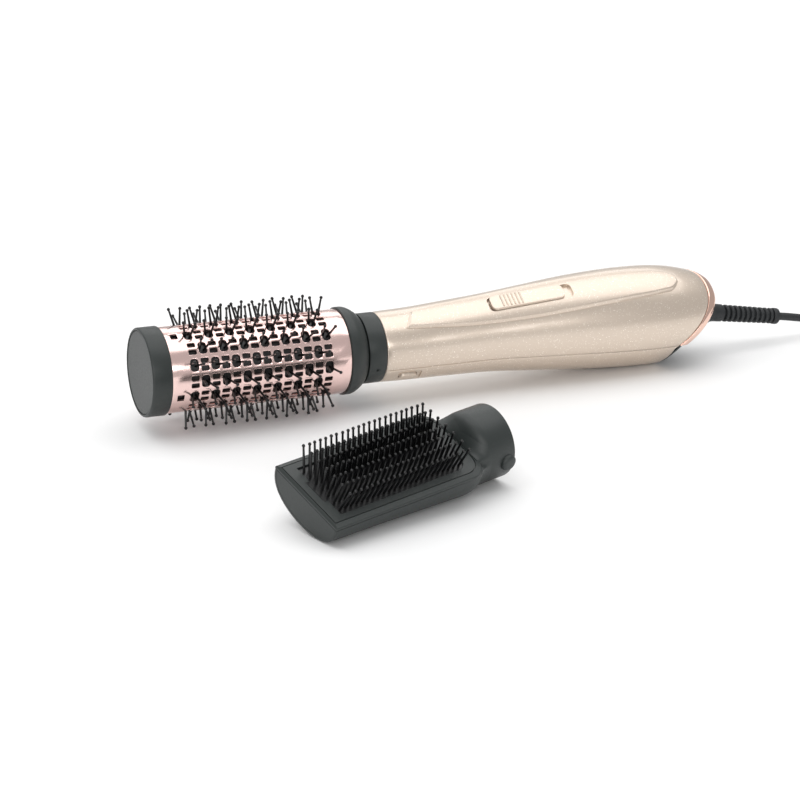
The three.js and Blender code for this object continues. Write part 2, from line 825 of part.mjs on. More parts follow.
function flatPad() {
  const half = FLAT_WIDTH / 2 - 5.3;
  const outer = [];
  const inner = [];
  for (const [u, h] of [
    [3.6, half],
    [90, half],
    [95, half - 2.5],
    [98, half - 7],
  ]) {
    outer.push(spread(-1, 1, 7).map((v) => [u, v * h, 1.6 + 2.2 * (1 - v * v)]));
    inner.push(spread(-1, 1, 7).map((v) => [u, v * h, 0.2]));
  }
  const pieces = [sheet(outer, inner, false)];
  for (let r = 0; r < FLAT_ROWS; r += 1) {
    const v = (r / (FLAT_ROWS - 1)) * 2 - 1;
    const lean = v * FLAT_FAN;
    const across = v * 16 + FLAT_BRISTLE_LENGTH * Math.sin(lean);
    const up = 2 + FLAT_BRISTLE_LENGTH * Math.cos(lean);
    for (let k = 0; k < FLAT_BRISTLES; k += 1) {
      const u = 9 + FLAT_BRISTLE_PITCH * k;
      const base = new THREE.Vector3(u, v * 16, 1);
      pieces.push(bristle(base, new THREE.Vector3(u, across, up), 0.5));
    }
  }
  piece(flat, "flat_pad", join(pieces), blackNylon);
}

function flatCollar() {
  const start = FLAT_LENGTH + GAP;
  const end = start + FLAT_COLLAR_LENGTH;
  const corners = [
    [start, 11.5],
    [start, 12.8],
    [start + 1.6, 16.2],
    [start + 3.6, 19.3],
    [start + 6, 20.7],
    [start + 8, FLAT_COLLAR_R],
    [end - 0.6, FLAT_COLLAR_R],
    [end, FLAT_COLLAR_R - 0.6],
    [end, FLAT_BORE_R],
    [start + 3.2, FLAT_BORE_R],
  ];
  const ring = turned(corners, 36);
  const boss = new THREE.CylinderGeometry(4.6, 4.6, 3.7, 16);
  boss.rotateX(Math.PI / 2).translate(end - 5, 0, -21.35);
  const body = join([ring, boss.rotateX(LATCH_TURN)]);
  piece(flat, "flat_collar", body.translate(0, 0, -FLAT_COLLAR_DROP), darkPlastic);
}

function placeFlatHead() {
  flat.rotation.order = "ZYX";
  flat.rotation.set(FLAT_ROLL, -FLAT_RISE, FLAT_YAW);
  flat.updateMatrixWorld(true);
  const low = new THREE.Box3().setFromObject(flat, true).min.z;
  flat.position.set(...FLAT_PLACE, -low);
}

frontCapRing();
frontCapDisc();
barrel();
bristleStrips();
rearCollar();
neckSleeve();
airCore();
upperCasing();
lowerCasing();
topPanel();
powerSwitch();
releaseButton();
outletSpigot();
trimRing();
rearCap();
filterMesh();
strainRelief();
motorParts();
fan();
heater();
electrics();
screws();
releaseSpring();
cordAndPlug();
flatShell();
flatEndCap();
flatBezel();
flatPad();
flatCollar();
placeFlatHead();

// The origin is on the table, under the middle of the brush and the flat head.
const hotAirBrush = new THREE.Group();
hotAirBrush.add(brush, flat);
hotAirBrush.updateMatrixWorld(true);
const extent = new THREE.Box3().setFromObject(hotAirBrush, true);
const middle = extent.getCenter(new THREE.Vector3());
hotAirBrush.position.set(-middle.x, -middle.y, 0);
hotAirBrush.add(cordGroup);
export default hotAirBrush;
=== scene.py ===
"""Looks of a hot air brush with a round head fitted and a flat head lying beside it."""

import json
import math
import random

import bmesh
import bpy
from mathutils import Euler, Matrix, Vector
from mathutils.geometry import tessellate_polygon


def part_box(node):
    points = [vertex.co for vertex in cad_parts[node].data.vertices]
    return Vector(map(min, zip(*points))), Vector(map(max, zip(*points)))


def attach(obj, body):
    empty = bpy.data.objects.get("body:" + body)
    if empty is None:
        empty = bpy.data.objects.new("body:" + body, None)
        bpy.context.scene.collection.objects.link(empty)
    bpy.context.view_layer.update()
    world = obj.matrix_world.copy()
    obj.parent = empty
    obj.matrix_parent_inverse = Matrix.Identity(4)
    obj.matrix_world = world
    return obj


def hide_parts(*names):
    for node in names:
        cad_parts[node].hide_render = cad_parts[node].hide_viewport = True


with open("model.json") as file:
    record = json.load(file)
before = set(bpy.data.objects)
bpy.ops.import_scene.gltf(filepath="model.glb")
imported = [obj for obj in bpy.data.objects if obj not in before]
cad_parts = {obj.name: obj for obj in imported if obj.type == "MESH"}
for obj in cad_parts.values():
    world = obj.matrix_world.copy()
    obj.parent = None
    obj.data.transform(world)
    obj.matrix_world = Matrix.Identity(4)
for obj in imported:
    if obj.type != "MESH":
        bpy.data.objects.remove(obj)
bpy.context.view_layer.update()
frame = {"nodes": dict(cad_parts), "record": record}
MM = 0.001
random.seed(7)

# ---- places in the frame, in metres --------
# BRUSH has its origin on the cap's face and X along the brush. HANDLE is BRUSH rolled,
# so that its Z points through the top panel. FLAT has its origin on the flat head's end.
JOINTS = {joint["name"]: joint for joint in frame["record"]["behaviour"]["joints"]}
AXIS = Vector(JOINTS["fan_spin"]["axis"])
DROOP = math.asin(-AXIS.z)
FAN_X = 0.280  # from the cap's face
CAP_CENTRE = Vector(JOINTS["fan_spin"]["pos_m"]) - AXIS * FAN_X
BRUSH = Matrix.Translation(CAP_CENTRE) @ Matrix.Rotation(DROOP, 4, "Y")
HANDLE_ROLL = math.radians(30)
HANDLE_SHIFT = -0.007
HANDLE = BRUSH @ Matrix.Translation((HANDLE_SHIFT, 0, 0)) @ Matrix.Rotation(HANDLE_ROLL, 4, "X")
FLAT_TURN = Euler((math.radians(21), -math.radians(3.2), math.radians(16.7)), "XYZ")
FLAT_OFFSET = (0.0348, -0.178)  # from the cap's face, along x and y
FLAT_HEIGHT = 0.020791
FLAT_X = CAP_CENTRE.x + FLAT_OFFSET[0]
FLAT_Y = CAP_CENTRE.y + FLAT_OFFSET[1]
FLAT = Matrix.Translation((FLAT_X, FLAT_Y, FLAT_HEIGHT)) @ FLAT_TURN.to_matrix().to_4x4()

# ---- round head, in millimetres --------
ROUND_SEGMENTS = 128
CAP_R = 25.9
BARREL_R = 25.0
BARREL_START = 12.1
BARREL_END = 120.6
BARREL_WALL = 1.2
BARREL_EDGE = 0.22
ROWS = 16
ROW_FACETS = 6
SLOTS = 14
SLOT_PITCH = 6.25
FIRST_HOLE = 25.5
LARGE_HOLE = (5.1, 7.4, 1.9)  # width, height, corner radius
PAIR_HOLE = (4.9, 3.0, 0.8)
PAIR_OFFSET = 2.25
CLIP_HOLE = (4.2, 4.4, 0.5)
STRIP_ENDS = (15, 117.6)
STRIP_OUTER_R = 23.0
STRIP_INNER_R = 20.8
STRIP_HALF_ANGLE = 0.365
BRISTLE_R = 0.78
BRISTLE_BALL_R = 1.02
BRISTLE_BASE_R = 22.0
BRISTLE_TIP_R = 35.6
BRISTLE_SIDES = 7
BALL_RINGS = 5
TABLE_GAP = 0.0006  # under the lowest bristle, in metres
NECK_R = 20.8
DIMPLE_X = 139.2
DIMPLE_ANGLE = math.radians(112)
DIMPLE_TILT = math.radians(-68)

# ---- handle, in millimetres --------
HANDLE_START = 151.8
HANDLE_END = 361.0
PROFILE = [  # x, radius, lift
    (HANDLE_START, 20.7, 0.0), (155, 21.0, 0.0), (175, 21.5, 0.3), (193, 22.2, 1.2),
    (220, 23.5, 2.4), (248, 26.0, 3.1), (276, 28.5, 3.6), (304, 30.1, 3.4), (328, 30.2, 2.8),
    (342, 29.0, 2.3), (352, 27.2, 1.8), (359, 25.2, 1.6), (366, 22.4, 1.2), (368, 21.2, 1.0),
]
SEAM = math.radians(5)
SWEEP_START = 312
SIDE_SWEEP = 25.0
LOW_SWEEP = 28.0
CASING_WALL = 2.2
SCREW_BORES = [(258, -24), (326, -27.4)]  # x, z
PANEL_START = 168.0
PANEL_END = 341.0
PANEL_END_ROUND = 6
PANEL_HALF_ANGLES = [
    (168, 0.27), (186, 0.36), (205, 0.42), (225, 0.43), (248, 0.42), (276, 0.38), (300, 0.34),
    (320, 0.31), (334, 0.26), (341, 0.14),
]
SWITCH_X = 242.0
SWITCH_HEIGHT = 28.9
SWITCH_TILT = 0.105
SWITCH_SIZE = (46, 10.4, 3.0)  # length, width, corner radius
SWITCH_RIDGES = 6
SWITCH_RIDGE_PITCH = 2.4
BUTTON_X = 166.5
BUTTON_TURN = -1.36
BUTTON_SIZE = (10.8, 5.8, 2.8)
TRIM_WIDTH = 6.0
REAR_FACE = 370.0
COVER_BULGE = 8.0
COVER_HOLE_R = 6.9
COVER_SLATS = 4

# ---- cord, in millimetres but for its length --------
CORD_R = 2.4
CORD_GAP = 0.2  # over the table
RELIEF_START = 357.0
RELIEF_LENGTH = 57.0
RELIEF_TILT = 0.155
RELIEF_RIBS = 10
RELIEF_RIB_PITCH = 3.5
COIL_CENTRE = (536.0, -24.0)
COIL_RING_R = 32.0
COIL_HALF = 7.5
COIL_TURNS = 8
COIL_GAP = 0.15
COIL_SHIFT = math.radians(45)

# ---- flat head, in millimetres --------
FLAT_LENGTH = 105.0
FLAT_WIDTH = 55.5
FLAT_DEPTH = 18.3
FLAT_WALL = 1.8
FLAT_SHARES = [  # distance along, share of the width, share of the depth
    (0, 1, 1), (40, 1, 1.1), (75, 1, 1.25), (95, 0.99, 1.36), (101, 0.93, 1.4),
    (105, 0.82, 1.42),
]
FRAME_SIDE = 7.9
PAD_EDGE_HEIGHT = 1.9
PAD_CROWN = 1.2
FLAT_ROWS = 7
FLAT_ROW_HALF = 16
FLAT_COLUMNS = 23
FLAT_COLUMN_START = 10.6
FLAT_COLUMN_PITCH = 3.68
FLAT_BRISTLE_R = 0.8
FLAT_BALL_R = 0.98
FLAT_BRISTLE_LENGTH = 17.0
FLAT_LEAN = 0.3
FLAT_COLLAR_R = 21.0
FLAT_COLLAR_BORE = 17.6
FLAT_COLLAR_LENGTH = 24.5
FLAT_COLLAR_DROP = 6.3
LATCH_TURN = -1.65
HOOD_LENGTH = 9.6
HOOD_HALF = 18.5


# ---- camera --------
CAMERA_AZIMUTH = math.radians(-22)
CAMERA_ELEVATION = math.radians(20.8)
CAMERA_DISTANCE = 1.8
CAMERA_LENS = 136.2
CAMERA_AIM = Vector((0.1605, 0, -0.0395))  # from the cap's centre


def in_scene(name, data):
    """A new object with this data, linked into the scene."""
    made = bpy.data.objects.new(name, data)
    bpy.context.scene.collection.objects.link(made)
    return made


def make_camera():
    """The photo's view: from the front left and a little above."""
    data = bpy.data.cameras.new("camera")
    data.lens = CAMERA_LENS
    data.sensor_width = 36
    data.clip_start = 0.05
    data.clip_end = 20
    level = math.cos(CAMERA_ELEVATION)
    x = math.sin(CAMERA_AZIMUTH) * level
    y = -math.cos(CAMERA_AZIMUTH) * level
    back = Vector((x, y, math.sin(CAMERA_ELEVATION)))
    camera = in_scene("camera", data)
    camera.location = CAP_CENTRE + CAMERA_AIM + back * CAMERA_DISTANCE
    camera.rotation_mode = "QUATERNION"
    camera.rotation_quaternion = (-back).to_track_quat("-Z", "Y")
    bpy.context.scene.camera = camera


# ---- materials --------
def shader_of(material):
    return material.node_tree.nodes["Principled BSDF"]


def new_material(name, colour, roughness, metallic=0.0, coat=0.0, coat_roughness=0.1):
    material = bpy.data.materials.new(name)
    material.use_nodes = True
    shader = shader_of(material)
    shader.inputs["Base Color"].default_value = (*colour, 1)
    shader.inputs["Roughness"].default_value = roughness
    shader.inputs["Metallic"].default_value = metallic
    shader.inputs["Coat Weight"].default_value = coat
    shader.inputs["Coat Roughness"].default_value = coat_roughness
    shader.inputs["IOR"].default_value = 1.5
    return material


def node(material, kind, **inputs):
    """A new node, its inputs set by name, with _ for a space."""
    made = material.node_tree.nodes.new(kind)
    for key, value in inputs.items():
        made.inputs[key.replace("_", " ")].default_value = value
    return made


def link(material, source, target):
    material.node_tree.links.new(source, target)


def texture(material, kind, **inputs):
    """A texture node in object space."""
    place = node(material, "ShaderNodeTexCoord")
    made = node(material, kind, **inputs)
    link(material, place.outputs["Object"], made.inputs["Vector"])
    return made


def add_bump(material, height, strength, distance):
    bump = node(material, "ShaderNodeBump", Strength=strength, Distance=distance)
    link(material, height, bump.inputs["Height"])
    link(material, bump.outputs["Normal"], shader_of(material).inputs["Normal"])


def add_grain(material, scale, strength, distance):
    """Fine moulded or brushed grain: a noise bump in object space."""
    noise = texture(material, "ShaderNodeTexNoise", Scale=scale, Detail=3.0)
    add_bump(material, noise.outputs["Fac"], strength, distance)
    return noise


def vary_roughness(material, noise, low, high):
    """Uneven sheen from handling, driven by the same noise."""
    sheen = node(material, "ShaderNodeMapRange", From_Min=0.3, From_Max=0.7, To_Min=low, To_Max=high)
    link(material, noise.outputs["Fac"], sheen.inputs["Value"])
    link(material, sheen.outputs["Result"], shader_of(material).inputs["Roughness"])


def champagne_paint():
    """Metallic champagne lacquer with fine glitter flakes under a clear coat."""
    base = (0.71, 0.6, 0.5)
    flake = (1.0, 0.92, 0.82)
    flake_share = 0.06
    material = new_material(
        "champagne_paint", base, 0.3, metallic=0.7, coat=0.6, coat_roughness=0.05
    )
    flakes = texture(material, "ShaderNodeTexVoronoi", Scale=2400.0)
    pick = node(material, "ShaderNodeSeparateColor")
    link(material, flakes.outputs["Color"], pick.inputs["Color"])
    bright = node(material, "ShaderNodeValToRGB")
    ramp = bright.color_ramp
    ramp.elements[0].position = 1 - flake_share
    ramp.elements[0].color = (*base, 1)
    ramp.elements[1].position = 1.0
    ramp.elements[1].color = (*flake, 1)
    link(material, pick.outputs["Red"], bright.inputs["Fac"])
    link(material, bright.outputs["Color"], shader_of(material).inputs["Base Color"])
    add_bump(material, pick.outputs["Green"], strength=0.16, distance=0.0002)
    return material


def rose_barrel():
    """Glossy rose gold plating on the barrel, with faint cloudy wear."""
    material = new_material(
        "rose_gold_barrel", (0.93, 0.68, 0.635), 0.17, metallic=0.95, coat=0.3, coat_roughness=0.05
    )
    cloud = texture(material, "ShaderNodeTexNoise", Scale=90.0, Detail=4.0)
    vary_roughness(material, cloud, low=0.13, high=0.24)
    return material


def rose_chrome():
    material = new_material("rose_chrome", (0.86, 0.60, 0.50), 0.06, metallic=1.0)
    add_grain(material, scale=260.0, strength=0.02, distance=0.0002)
    return material


def dark_plastic():
    material = new_material("dark_plastic", (0.022, 0.0275, 0.0263), 0.42)
    noise = add_grain(material, scale=1400.0, strength=0.14, distance=0.00012)
    vary_roughness(material, noise, low=0.36, high=0.5)
    return material


def bristle_nylon():
    material = new_material("bristle_nylon", (0.003, 0.003, 0.0035), 0.32)
    add_grain(material, scale=900.0, strength=0.08, distance=0.0001)
    return material


def cord_rubber():
    material = new_material("cord_rubber", (0.016, 0.018, 0.02), 0.5)
    noise = add_grain(material, scale=1100.0, strength=0.2, distance=0.00015)
    vary_roughness(material, noise, low=0.48, high=0.66)
    return material


def simple_metal(name, colour, roughness):
    material = new_material(name, colour, roughness, metallic=1.0)
    add_grain(material, scale=700.0, strength=0.08, distance=0.0001)
    return material


def simple_plastic(name, colour, roughness):
    material = new_material(name, colour, roughness)
    add_grain(material, scale=800.0, strength=0.1, distance=0.0001)
    return material


MATERIALS = {
    "champagne_paint": champagne_paint(),
    "rose_chrome": rose_chrome(),
    "rose_gold_barrel": rose_barrel(),
    "dark_plastic": dark_plastic(),
    "bristle_nylon": bristle_nylon(),
    "cord_rubber": cord_rubber(),
    "white_plastic": simple_plastic("white_plastic", (0.75, 0.74, 0.70), 0.4),
    "steel": simple_metal("steel", (0.58, 0.59, 0.6), 0.3),
    "brass_pins": simple_metal("brass_pins", (0.82, 0.66, 0.36), 0.22),
    "mica": simple_plastic("mica", (0.6, 0.52, 0.34), 0.6),
    "board": simple_plastic("board", (0.02, 0.2, 0.07), 0.4),
    "copper_wire": simple_metal("copper_wire", (0.72, 0.38, 0.2), 0.28),
}


# ---- mesh helpers --------
def mesh_object(name, shape, place, smooth=True, angle=35):
    """A mesh from (points, faces) in millimetres, moved into the frame by place."""
    points, faces = shape
    same_spot = 2e-6
    mesh = bpy.data.meshes.new(name)
    mesh.from_pydata([place @ (Vector(p) * MM) for p in points], [], faces)
    mesh.validate()
    work = bmesh.new()
    work.from_mesh(mesh)
    bmesh.ops.remove_doubles(work, verts=work.verts, dist=same_spot)
    bmesh.ops.recalc_face_normals(work, faces=work.faces)
    work.to_mesh(mesh)
    work.free()
    if smooth:
        mesh.shade_smooth()
        mesh.set_sharp_from_angle(angle=math.radians(angle))
    return in_scene(name, mesh)


def finish_piece(made, slot_name, body, *stands_for):
    """Gives a piece its material and its body, and hides the CAD nodes that it stands for."""
    made.data.materials.clear()
    made.data.materials.append(MATERIALS[slot_name])
    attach(made, body)
    if stands_for:
        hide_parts(*stands_for)


def rest_on_table(made):
    """Flattens the little that a smooth curve takes below the table."""
    for vertex in made.data.vertices:
        vertex.co.z = max(vertex.co.z, 0.0)


def bevelled(made, width, angle=35):
    """Rounds the edges sharper than angle degrees by width millimetres."""
    step = made.modifiers.new("edges", "BEVEL")
    step.width = width * MM
    step.segments = 2
    step.limit_method = "ANGLE"
    step.angle_limit = math.radians(angle)
    step.harden_normals = False
    return made


def cut_out(made, cutter):
    """Cuts cutter's volume out of made, and removes the cutter."""
    step = made.modifiers.new("cut", "BOOLEAN")
    step.operation = "DIFFERENCE"
    step.solver = "EXACT"
    step.object = cutter
    graph = bpy.context.evaluated_depsgraph_get()
    graph.update()
    shaped = bpy.data.meshes.new_from_object(made.evaluated_get(graph))
    made.modifiers.clear()
    made.data = shaped
    made.data.set_sharp_from_angle(angle=math.radians(35))
    bpy.data.objects.remove(cutter)


def spread(low, high, count):
    """Evenly spaced values from low to high, with both."""
    return [low + (high - low) * k / (count - 1) for k in range(count)]


def smoothstep(x, low, high):
    """A smooth rise from 0 at low to 1 at high."""
    share = min(max((x - low) / (high - low), 0.0), 1.0)
    return share * share * (3 - 2 * share)


def between_rows(table, x):
    """The values after the first, on straight lines between a table's rows."""
    for start, stop in zip(table, table[1:]):
        if x <= stop[0]:
            share = (x - start[0]) / (stop[0] - start[0])
            return [a + (b - a) * share for a, b in zip(start[1:], stop[1:])]
    return table[-1][1:]


def rounded_loop(cx, cy, width, height, radius, steps=4):
    """Corners of a rounded rectangle, anticlockwise."""
    loop = []
    for k, (sx, sy) in enumerate(((1, 1), (-1, 1), (-1, -1), (1, -1))):
        for i in range(steps + 1):
            t = math.pi / 2 * (k + i / steps)
            x = cx + sx * (width / 2 - radius) + radius * math.cos(t)
            loop.append((x, cy + sy * (height / 2 - radius) + radius * math.sin(t)))
    return loop


def quadratic_curve(a, control, b, steps):
    """Points after a on a quadratic curve from a to b."""
    curve = []
    for k in range(1, steps + 1):
        t = k / steps
        x = (1 - t) ** 2 * a[0] + 2 * t * (1 - t) * control[0] + t * t * b[0]
        y = (1 - t) ** 2 * a[1] + 2 * t * (1 - t) * control[1] + t * t * b[1]
        curve.append((x, y))
    return curve


def looped(rings):
    """A closed surface through rings of equal point counts, the last joined to the first."""
    n = len(rings[0])
    points = [p for ring in rings for p in ring]
    faces = []
    for k in range(len(rings)):
        a = k * n
        b = ((k + 1) % len(rings)) * n
        for i in range(n):
            j = (i + 1) % n
            faces.append((a + i, a + j, b + j, b + i))
    return points, faces


def lofted(rings):
    """A solid through rings of equal point counts, closed at both ends."""
    points, faces = looped(rings)
    n = len(rings[0])
    ends = [tuple(range(n)), tuple(range(len(points) - n, len(points)))]
    return points, ends + faces[:-n]


def around_axis(x, radius, angle):
    """A point round the X axis, at an angle from the top towards -Y."""
    return (x, -radius * math.sin(angle), radius * math.cos(angle))


def turned_points(corners, segments):
    """A closed outline of (x, radius) corners, turned round the X axis."""
    turns = [2 * math.pi * k / segments for k in range(segments)]
    return looped([[around_axis(x, r, t) for x, r in corners] for t in turns])


def turned(name, corners, place, segments=96, angle=35):
    return mesh_object(name, turned_points(corners, segments), place, angle=angle)


def skin_mesh(outer, inner, ring=False):
    """Closed sheet between two grids of points, joined round its columns if ring is true."""
    rows = len(outer)
    cols = len(outer[0])
    points = [p for line in outer for p in line] + [p for line in inner for p in line]

    def at(side, i, j):
        return (side * rows + i) * cols + j % cols

    faces = []
    for j in range(cols if ring else cols - 1):
        for i in range(rows - 1):
            faces.append((at(0, i, j), at(0, i, j + 1), at(0, i + 1, j + 1), at(0, i + 1, j)))
            faces.append((at(1, i, j), at(1, i + 1, j), at(1, i + 1, j + 1), at(1, i, j + 1)))
        for i in (0, rows - 1):
            faces.append((at(0, i, j), at(1, i, j), at(1, i, j + 1), at(0, i, j + 1)))
    if not ring:
        for j in (0, cols - 1):
            for i in range(rows - 1):
                faces.append((at(0, i, j), at(0, i + 1, j), at(1, i + 1, j), at(1, i, j)))
    return points, faces


def box_mesh(x0, x1, y0, y1, z0, z1):
    points = [(x, y, z) for x in (x0, x1) for y in (y0, y1) for z in (z0, z1)]
    faces = [(0, 1, 3, 2), (4, 6, 7, 5), (0, 4, 5, 1), (2, 3, 7, 6), (0, 2, 6, 4), (1, 5, 7, 3)]
    return points, faces


def rounded_cutter(name, x_span, y_span, z_span, place, radius):
    """A block with rounded vertical edges, as a cutting tool."""
    x = sum(x_span) / 2
    y = sum(y_span) / 2
    width = x_span[1] - x_span[0]
    depth = y_span[1] - y_span[0]
    loop = rounded_loop(x, y, width, depth, radius, 6)
    return mesh_object(name, lofted([[(*spot, z) for spot in loop] for z in z_span]), place)


def domed_block(size, levels):
    """A rounded block whose outline steps in by each level's inset, from (z, inset) levels."""
    length, width, radius = size
    half_x = length / 2
    half_y = width / 2
    loop = rounded_loop(0, 0, length, width, radius, 8)
    rings = []
    for z, inset in levels:
        along = (half_x - inset) / half_x
        across = (half_y - inset) / half_y
        rings.append([(x * along, y * across, z) for x, y in loop])
    return lofted(rings)


def joined(parts):
    """Several (points, faces) pairs as one."""
    points = []
    faces = []
    for part_points, part_faces in parts:
        base = len(points)
        points += part_points
        faces += [tuple(base + i for i in face) for face in part_faces]
    return points, faces


# ---- cord --------
def relief_point(distance):
    """A point on the strain relief's axis, in metres."""
    slope = DROOP + RELIEF_TILT
    start = CAP_CENTRE + AXIS * RELIEF_START * MM
    return start + Vector((math.cos(slope), 0, -math.sin(slope))) * distance * MM


def coil_slots():
    """(radius, height) of each turn, each beside the one before."""
    step = COIL_HALF - CORD_R - COIL_GAP
    top = 2 * COIL_HALF - CORD_R - CORD_GAP
    radii = {"out": COIL_RING_R + step, "mid": COIL_RING_R, "in": COIL_RING_R - step}
    heights = {"low": CORD_R + CORD_GAP, "mid": COIL_HALF, "top": top}
    order = [
        "out low", "mid low", "in low", "in mid", "in top", "mid top", "mid mid", "out mid",
        "out top",
    ]
    return [(radii[a], heights[b]) for a, b in (words.split() for words in order)]


def coil_points(centre):
    """The coil's turns, which shift from slot to slot over an eighth of a turn each."""
    slots = coil_slots()
    hold = 2 * math.pi - COIL_SHIFT
    per_turn = 24
    points = []
    for k in range(COIL_TURNS * per_turn + 1):
        gone = 2 * math.pi * k / per_turn
        index = min(int(gone / hold), len(slots) - 1)
        inside = gone - index * hold
        share = smoothstep(inside, 0, COIL_SHIFT) if index > 0 else 1.0
        before = slots[max(index - 1, 0)]
        now = slots[index]
        r = before[0] + (now[0] - before[0]) * share
        z = before[1] + (now[1] - before[1]) * share
        angle = math.pi / 2 - gone
        points.append((centre[0] + r * math.cos(angle), centre[1] + r * math.sin(angle), z))
    return points


def make_cord():
    """The cord, from inside the strain relief, through its coil, to the plug."""
    cx, cy = COIL_CENTRE
    side = Vector((CAP_CENTRE.x, CAP_CENTRE.y, 0))
    y = cy + COIL_RING_R + COIL_HALF - CORD_R - COIL_GAP
    floor = CORD_R + CORD_GAP
    lead = [
        (440, 1, 10.4), (456, 4, 5.8), (472, 8, 3.4), (490, y - 1.2, floor), (506, y, floor),
        (cx - 18.6, y, floor),
    ]
    tail = [
        (cx + 12, y, 12.3), (cx + 24, y, 11.0), (cx + 36, y, 9.2), (cx + 48, y, 7.4),
        (cx + 57, y, 7.0),
    ]
    points = [relief_point(d) for d in (1, 14, 28, 42, RELIEF_LENGTH, RELIEF_LENGTH + 10)]
    for spot in lead + coil_points(COIL_CENTRE) + tail:
        points.append(side + Vector(spot) * MM)
    data = bpy.data.curves.new("cord", "CURVE")
    data.dimensions = "3D"
    data.bevel_depth = CORD_R * MM
    data.bevel_resolution = 5
    data.resolution_u = 6
    data.use_fill_caps = True
    line = data.splines.new("NURBS")
    line.points.add(len(points) - 1)
    for spot, place in zip(line.points, points):
        spot.co = (*place, 1)
    line.order_u = 3
    line.use_endpoint_u = True
    cord = in_scene("cord", data)
    data.materials.append(MATERIALS["cord_rubber"])
    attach(cord, "handle")
    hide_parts("cord_lead", "cord_coil", "cord_tail")
    return cord, points[0]


def box_in_mm(low, high):
    """A box's corners in millimetres, and its middle's y and z."""
    low = low / MM
    high = high / MM
    return low, high, (low.y + high.y) / 2, (low.z + high.z) / 2


def make_plug():
    """Moulded flat plug body with a finger grip on each side."""
    low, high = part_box("plug_body")
    low, high, mid_y, mid_z = box_in_mm(low, high)
    stations = [  # x, half width, half thickness
        (low.x, 4.2, 4.2), (low.x + 4, 5.2, 4.8), (low.x + 10, 8.0, 5.6),
        (low.x + 14, 13.5, 6.5), (low.x + 22, 16.8, 6.8), (high.x - 2, 17.4, 6.8),
        (high.x - 0.8, 17.2, 6.6), (high.x, 16.4, 6.0),
    ]
    rings = []
    for x, half, thick in stations:
        corner = min(half, thick) * 0.6
        loop = rounded_loop(mid_y, mid_z, 2 * half, 2 * thick, corner, 5)
        rings.append([(x, y, z) for y, z in loop])
    plug = mesh_object("plug", lofted(rings), Matrix.Identity(4), angle=50)
    finish_piece(plug, "cord_rubber", "handle", "plug_body")
    return plug


def make_pins():
    """Two round pins with tapered tips, rooted in the plug."""
    made = []
    for n in (1, 2):
        low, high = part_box(f"plug_pin_{n}")
        low, high, mid_y, mid_z = box_in_mm(low, high)
        place = Matrix.Translation(Vector((low.x, mid_y, mid_z)) * MM)
        length = high.x - low.x
        tip = [(length - 1, 2), (length - 0.3, 1.6), (length, 0.9), (length, 0)]
        pin = turned(f"pin_{n}", [(-2, 0), (-2, 2), *tip], place, 24)
        finish_piece(pin, "brass_pins", "handle", f"plug_pin_{n}")
        made.append(pin)
    return made


# ---- round head --------
def front_cap():
    """Rounded ring on the barrel's front, with a disc set just inside its face."""
    ring = [
        (0.25, 24.35), (0.05, 24.6), (0.0, 25.0), (0.25, 25.5), (0.8, 25.85), (1.4, CAP_R),
        (11.3, CAP_R), (11.8, 25.6), (11.8, 23.5), (14.6, 23.5), (14.6, 21.6), (1.8, 21.6),
        (1.8, 24.35),
    ]
    made = turned("cap_ring", ring, BRUSH, ROUND_SEGMENTS)
    finish_piece(made, "dark_plastic", "round_head", "front_cap_ring")
    disc = [
        (0.55, 0), (0.5, 12), (0.35, 22), (0.35, 23.8), (0.6, 24.15), (1.5, 24.15), (1.5, 21.3),
        (5, 21.3), (5, 0),
    ]
    made = turned("cap_disc", disc, BRUSH, ROUND_SEGMENTS)
    finish_piece(made, "dark_plastic", "round_head", "front_cap_disc")


def barrel_cell(width, height, holes):
    """A flat plate of width (along x) by height, as (points, triangles), with holes."""
    x = width / 2
    y = height / 2
    plate = [(-x, -y), (x, -y), (x, y), (-x, y)]
    loops = [[Vector((*spot, 0)) for spot in loop] for loop in [plate] + holes]
    return [p for loop in loops for p in loop], tessellate_polygon(loops)


def barrel_cells(cell_height):
    """Each plate of the unrolled barrel, as (row, x, points, triangles)."""
    large = [rounded_loop(0, 0, *LARGE_HOLE)]
    pair = [rounded_loop(0, y, *PAIR_HOLE) for y in (PAIR_OFFSET, -PAIR_OFFSET)]
    clip = [rounded_loop(0, 0, *CLIP_HOLE)]
    start = FIRST_HOLE - SLOT_PITCH / 2
    end = start + SLOTS * SLOT_PITCH
    cells = []
    for row in range(ROWS):
        plates = [
            ((BARREL_START + start) / 2, start - BARREL_START, clip if row % 4 == 1 else []),
            ((end + BARREL_END) / 2, BARREL_END - end, []),
        ]
        for k in range(SLOTS):
            holes = large if (k + row) % 2 else pair
            plates.append((FIRST_HOLE + SLOT_PITCH * k, SLOT_PITCH, holes))
        for x, width, holes in plates:
            cells.append((row, x, *barrel_cell(width, cell_height, holes)))
    return cells


